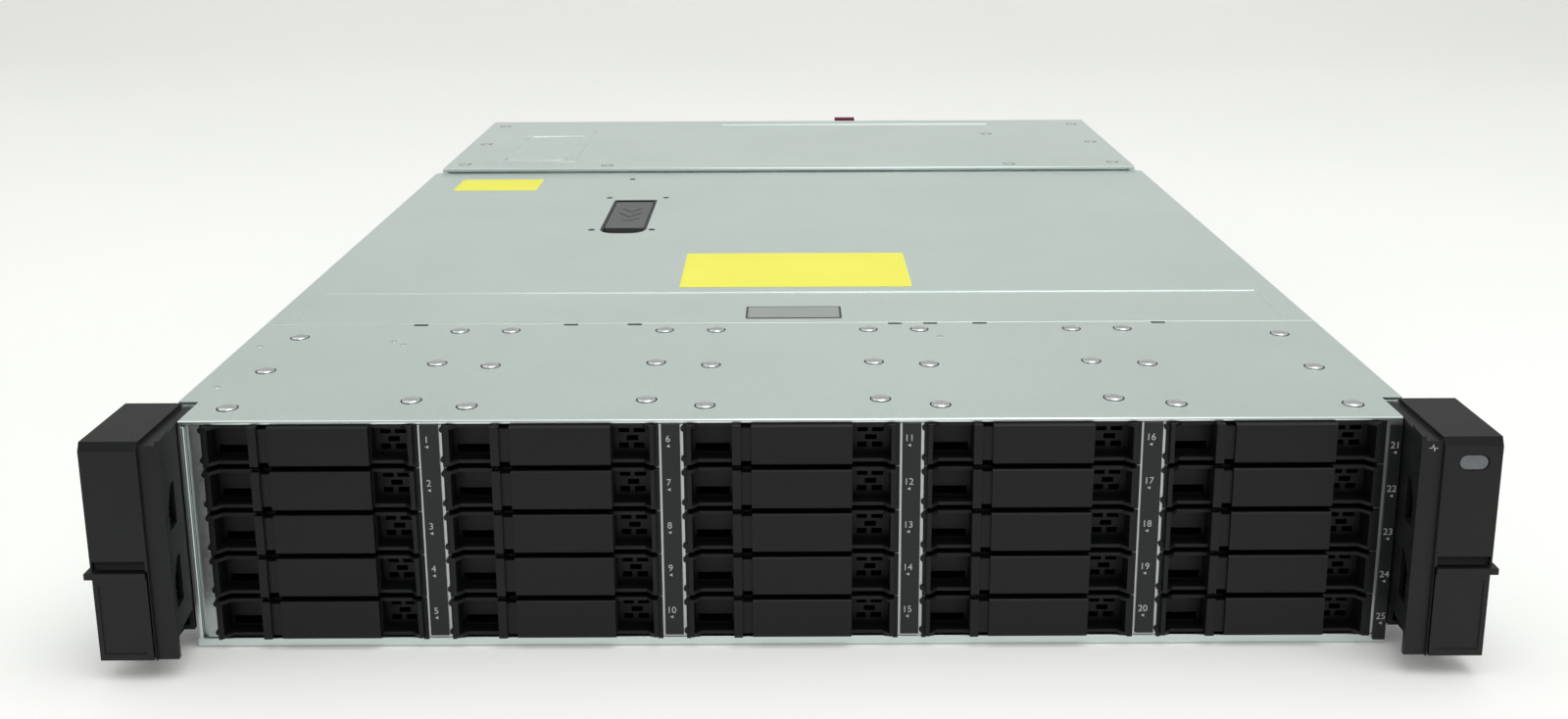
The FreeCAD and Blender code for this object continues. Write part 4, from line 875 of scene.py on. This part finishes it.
guards = guardTree()
rearFace, screw = rearLook["face"], rearLook["screwRadius"]
for side in ("left", "right"):
    axis = sum(corner.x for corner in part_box(side + "_fan_frame")) / 2 / mm
    body = frame["nodes"][side + "_fan_frame"]["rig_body"]
    for number, radius in enumerate(rearLook["rings"]):
        fromPoints(f"{side}FanGuard{number}", guards,
                   [(axis, rearFace + rearLook["wireLift"], rearLook["axisZ"])], body,
                   "zincPlatedSteel",
                   {"Ring radius": radius, "Wire radius": rearLook["wire"]})
    heads = [softened(lozengeMesh("head", axis + across * rearLook["screwAcross"],
                                  rearLook["axisZ"] + up * rearLook["screwUp"], screw, screw,
                                  rearFace - rearLook["screwSink"],
                                  rearFace + rearLook["screwRise"]), rearLook["screwSoft"])
             for across, up in ((-1, -1), (1, -1), (-1, 1), (1, 1))]
    newPiece(side + "FanScrews", joinedMesh("fanScrews", heads), body, "zincPlatedSteel")
    middle = sum(corner.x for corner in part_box(side + "_power_supply")) / 2 / mm
    # A dark box at the end of each inlet: painted shade
    inlet = [tuple((middle + x, y, z) for x, y, z in pair) for pair in rearLook["inlets"]]
    newPiece(side + "InletShade", boxesMesh("inletShade", inlet),
             frame["nodes"][side + "_power_supply"]["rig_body"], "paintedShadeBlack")
# Dark boxes at the ends of each module's ports and vents: painted shade
for level, low in rearLook["moduleLow"].items():
    ends = (endBoxes(rearLook["ports"], low, rearLook["portY"])
            + endBoxes(rearLook["vents"], low, rearLook["ventY"]))
    newPiece(level + "PortShade", boxesMesh("portShade", ends),
             frame["nodes"][level + "_io_module"]["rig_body"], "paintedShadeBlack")
print("rear faces dressed")

# Studio: a pale painted sweep, a sky that is bright overhead and dim in front, two panels.
# Sizes are in metres.
stageLook = {"floor": "#f4f4f2", "far": "#ecedea", "glowColour": "#fbfbfa", "glow": 0.1,
             "mottle": 2.0, "roughness": 0.6, "ior": 1.35,
             "front": -3.0, "back": 1.4, "bend": 0.9, "top": 4.0, "half": 4, "drop": 0.0002,
             "sky": "#f2f3f1", "overhead": 0.98, "ahead": 0.09, "seen": 0.93,
             "lean": 0.45, "leanSpan": (-0.35, 0.6),
             "panels": {"keyPanel": ((0.4, -0.7, 2.0), 1.7, 20),
                        "fillPanel": ((-1.6, 0.2, 1.5), 1.4, 3)}}  # place, size, watts


def floorPaint():
    # Matt off-white paint, faintly mottled: keeps the shadow soft
    material, tree, shader = newMaterial("mattFloorPaint")
    place = addNode(tree, "ShaderNodeTexCoord").outputs["Object"]
    mottle = addNode(tree, "ShaderNodeTexNoise", None,
                     {"Vector": place, "Scale": stageLook["mottle"]})
    tone = addNode(tree, "ShaderNodeMix", {"data_type": "RGBA"})
    tone.inputs[6].default_value = hexColour(stageLook["far"])
    tone.inputs[7].default_value = hexColour(stageLook["floor"])
    tree.links.new(mottle.outputs["Fac"], tone.inputs[0])
    tree.links.new(tone.outputs[2], shader.inputs["Base Color"])
    shader.inputs["Roughness"].default_value = stageLook["roughness"]
    shader.inputs["IOR"].default_value = stageLook["ior"]
    # The eye and reflections see the floor a little paler than it lights
    ray = addNode(tree, "ShaderNodeLightPath")
    seen = addNode(tree, "ShaderNodeMath", {"operation": "MAXIMUM"},
                   {0: ray.outputs["Is Camera Ray"], 1: ray.outputs["Is Glossy Ray"]})
    glow = addNode(tree, "ShaderNodeMath", {"operation": "MULTIPLY"},
                   {0: seen.outputs[0], 1: stageLook["glow"]})
    shader.inputs["Emission Color"].default_value = hexColour(stageLook["glowColour"])
    tree.links.new(glow.outputs[0], shader.inputs["Emission Strength"])
    return material


bend = stageLook["bend"]
profile = [(stageLook["front"], 0), (stageLook["back"], 0)]
profile += [(stageLook["back"] + bend * math.sin(math.radians(a)),
             bend - bend * math.cos(math.radians(a))) for a in range(10, 91, 10)]
profile += [(stageLook["back"] + bend, stageLook["top"])]
points = [(x, y, z - stageLook["drop"]) for y, z in profile
          for x in (-stageLook["half"], stageLook["half"])]
faces = [(2 * i, 2 * i + 1, 2 * i + 3, 2 * i + 2) for i in range(len(profile) - 1)]
sweep = bpy.data.meshes.new("studioSweep")
sweep.from_pydata(points, [], faces)
sweep.materials.append(floorPaint())
for face in sweep.polygons:
    face.use_smooth = True
placed(bpy.data.objects.new("studioSweep", sweep))

world = bpy.data.worlds.new("studioWorld")
world.use_nodes = True
bpy.context.scene.world = world
sky = world.node_tree
background = sky.nodes["Background"]
background.inputs["Color"].default_value = hexColour(stageLook["sky"])
aim = addNode(sky, "ShaderNodeTexCoord")
parts = addNode(sky, "ShaderNodeSeparateXYZ", None, {"Vector": aim.outputs["Generated"]})
lean = addNode(sky, "ShaderNodeMath", {"operation": "MULTIPLY_ADD"},
               {0: parts.outputs["Y"], 1: stageLook["lean"], 2: parts.outputs["Z"]})
strength = addNode(sky, "ShaderNodeMapRange", None,
                   {"Value": lean.outputs[0], "From Min": stageLook["leanSpan"][0],
                    "From Max": stageLook["leanSpan"][1], "To Min": stageLook["ahead"],
                    "To Max": stageLook["overhead"]})
ray = addNode(sky, "ShaderNodeLightPath")
shown = addNode(sky, "ShaderNodeMix", {"data_type": "FLOAT"},
                {0: ray.outputs["Is Camera Ray"], 2: strength.outputs["Result"],
                 3: stageLook["seen"]})
sky.links.new(shown.outputs[0], background.inputs["Strength"])

for name, (place, size, power) in stageLook["panels"].items():
    lamp = bpy.data.lights.new(name, "AREA")
    lamp.size = size
    lamp.energy = power
    holder = placed(bpy.data.objects.new(name, lamp))
    holder.location = place
    holder.rotation_euler = (-Vector(place)).to_track_quat("-Z", "Y").to_euler()
print("stage lit")
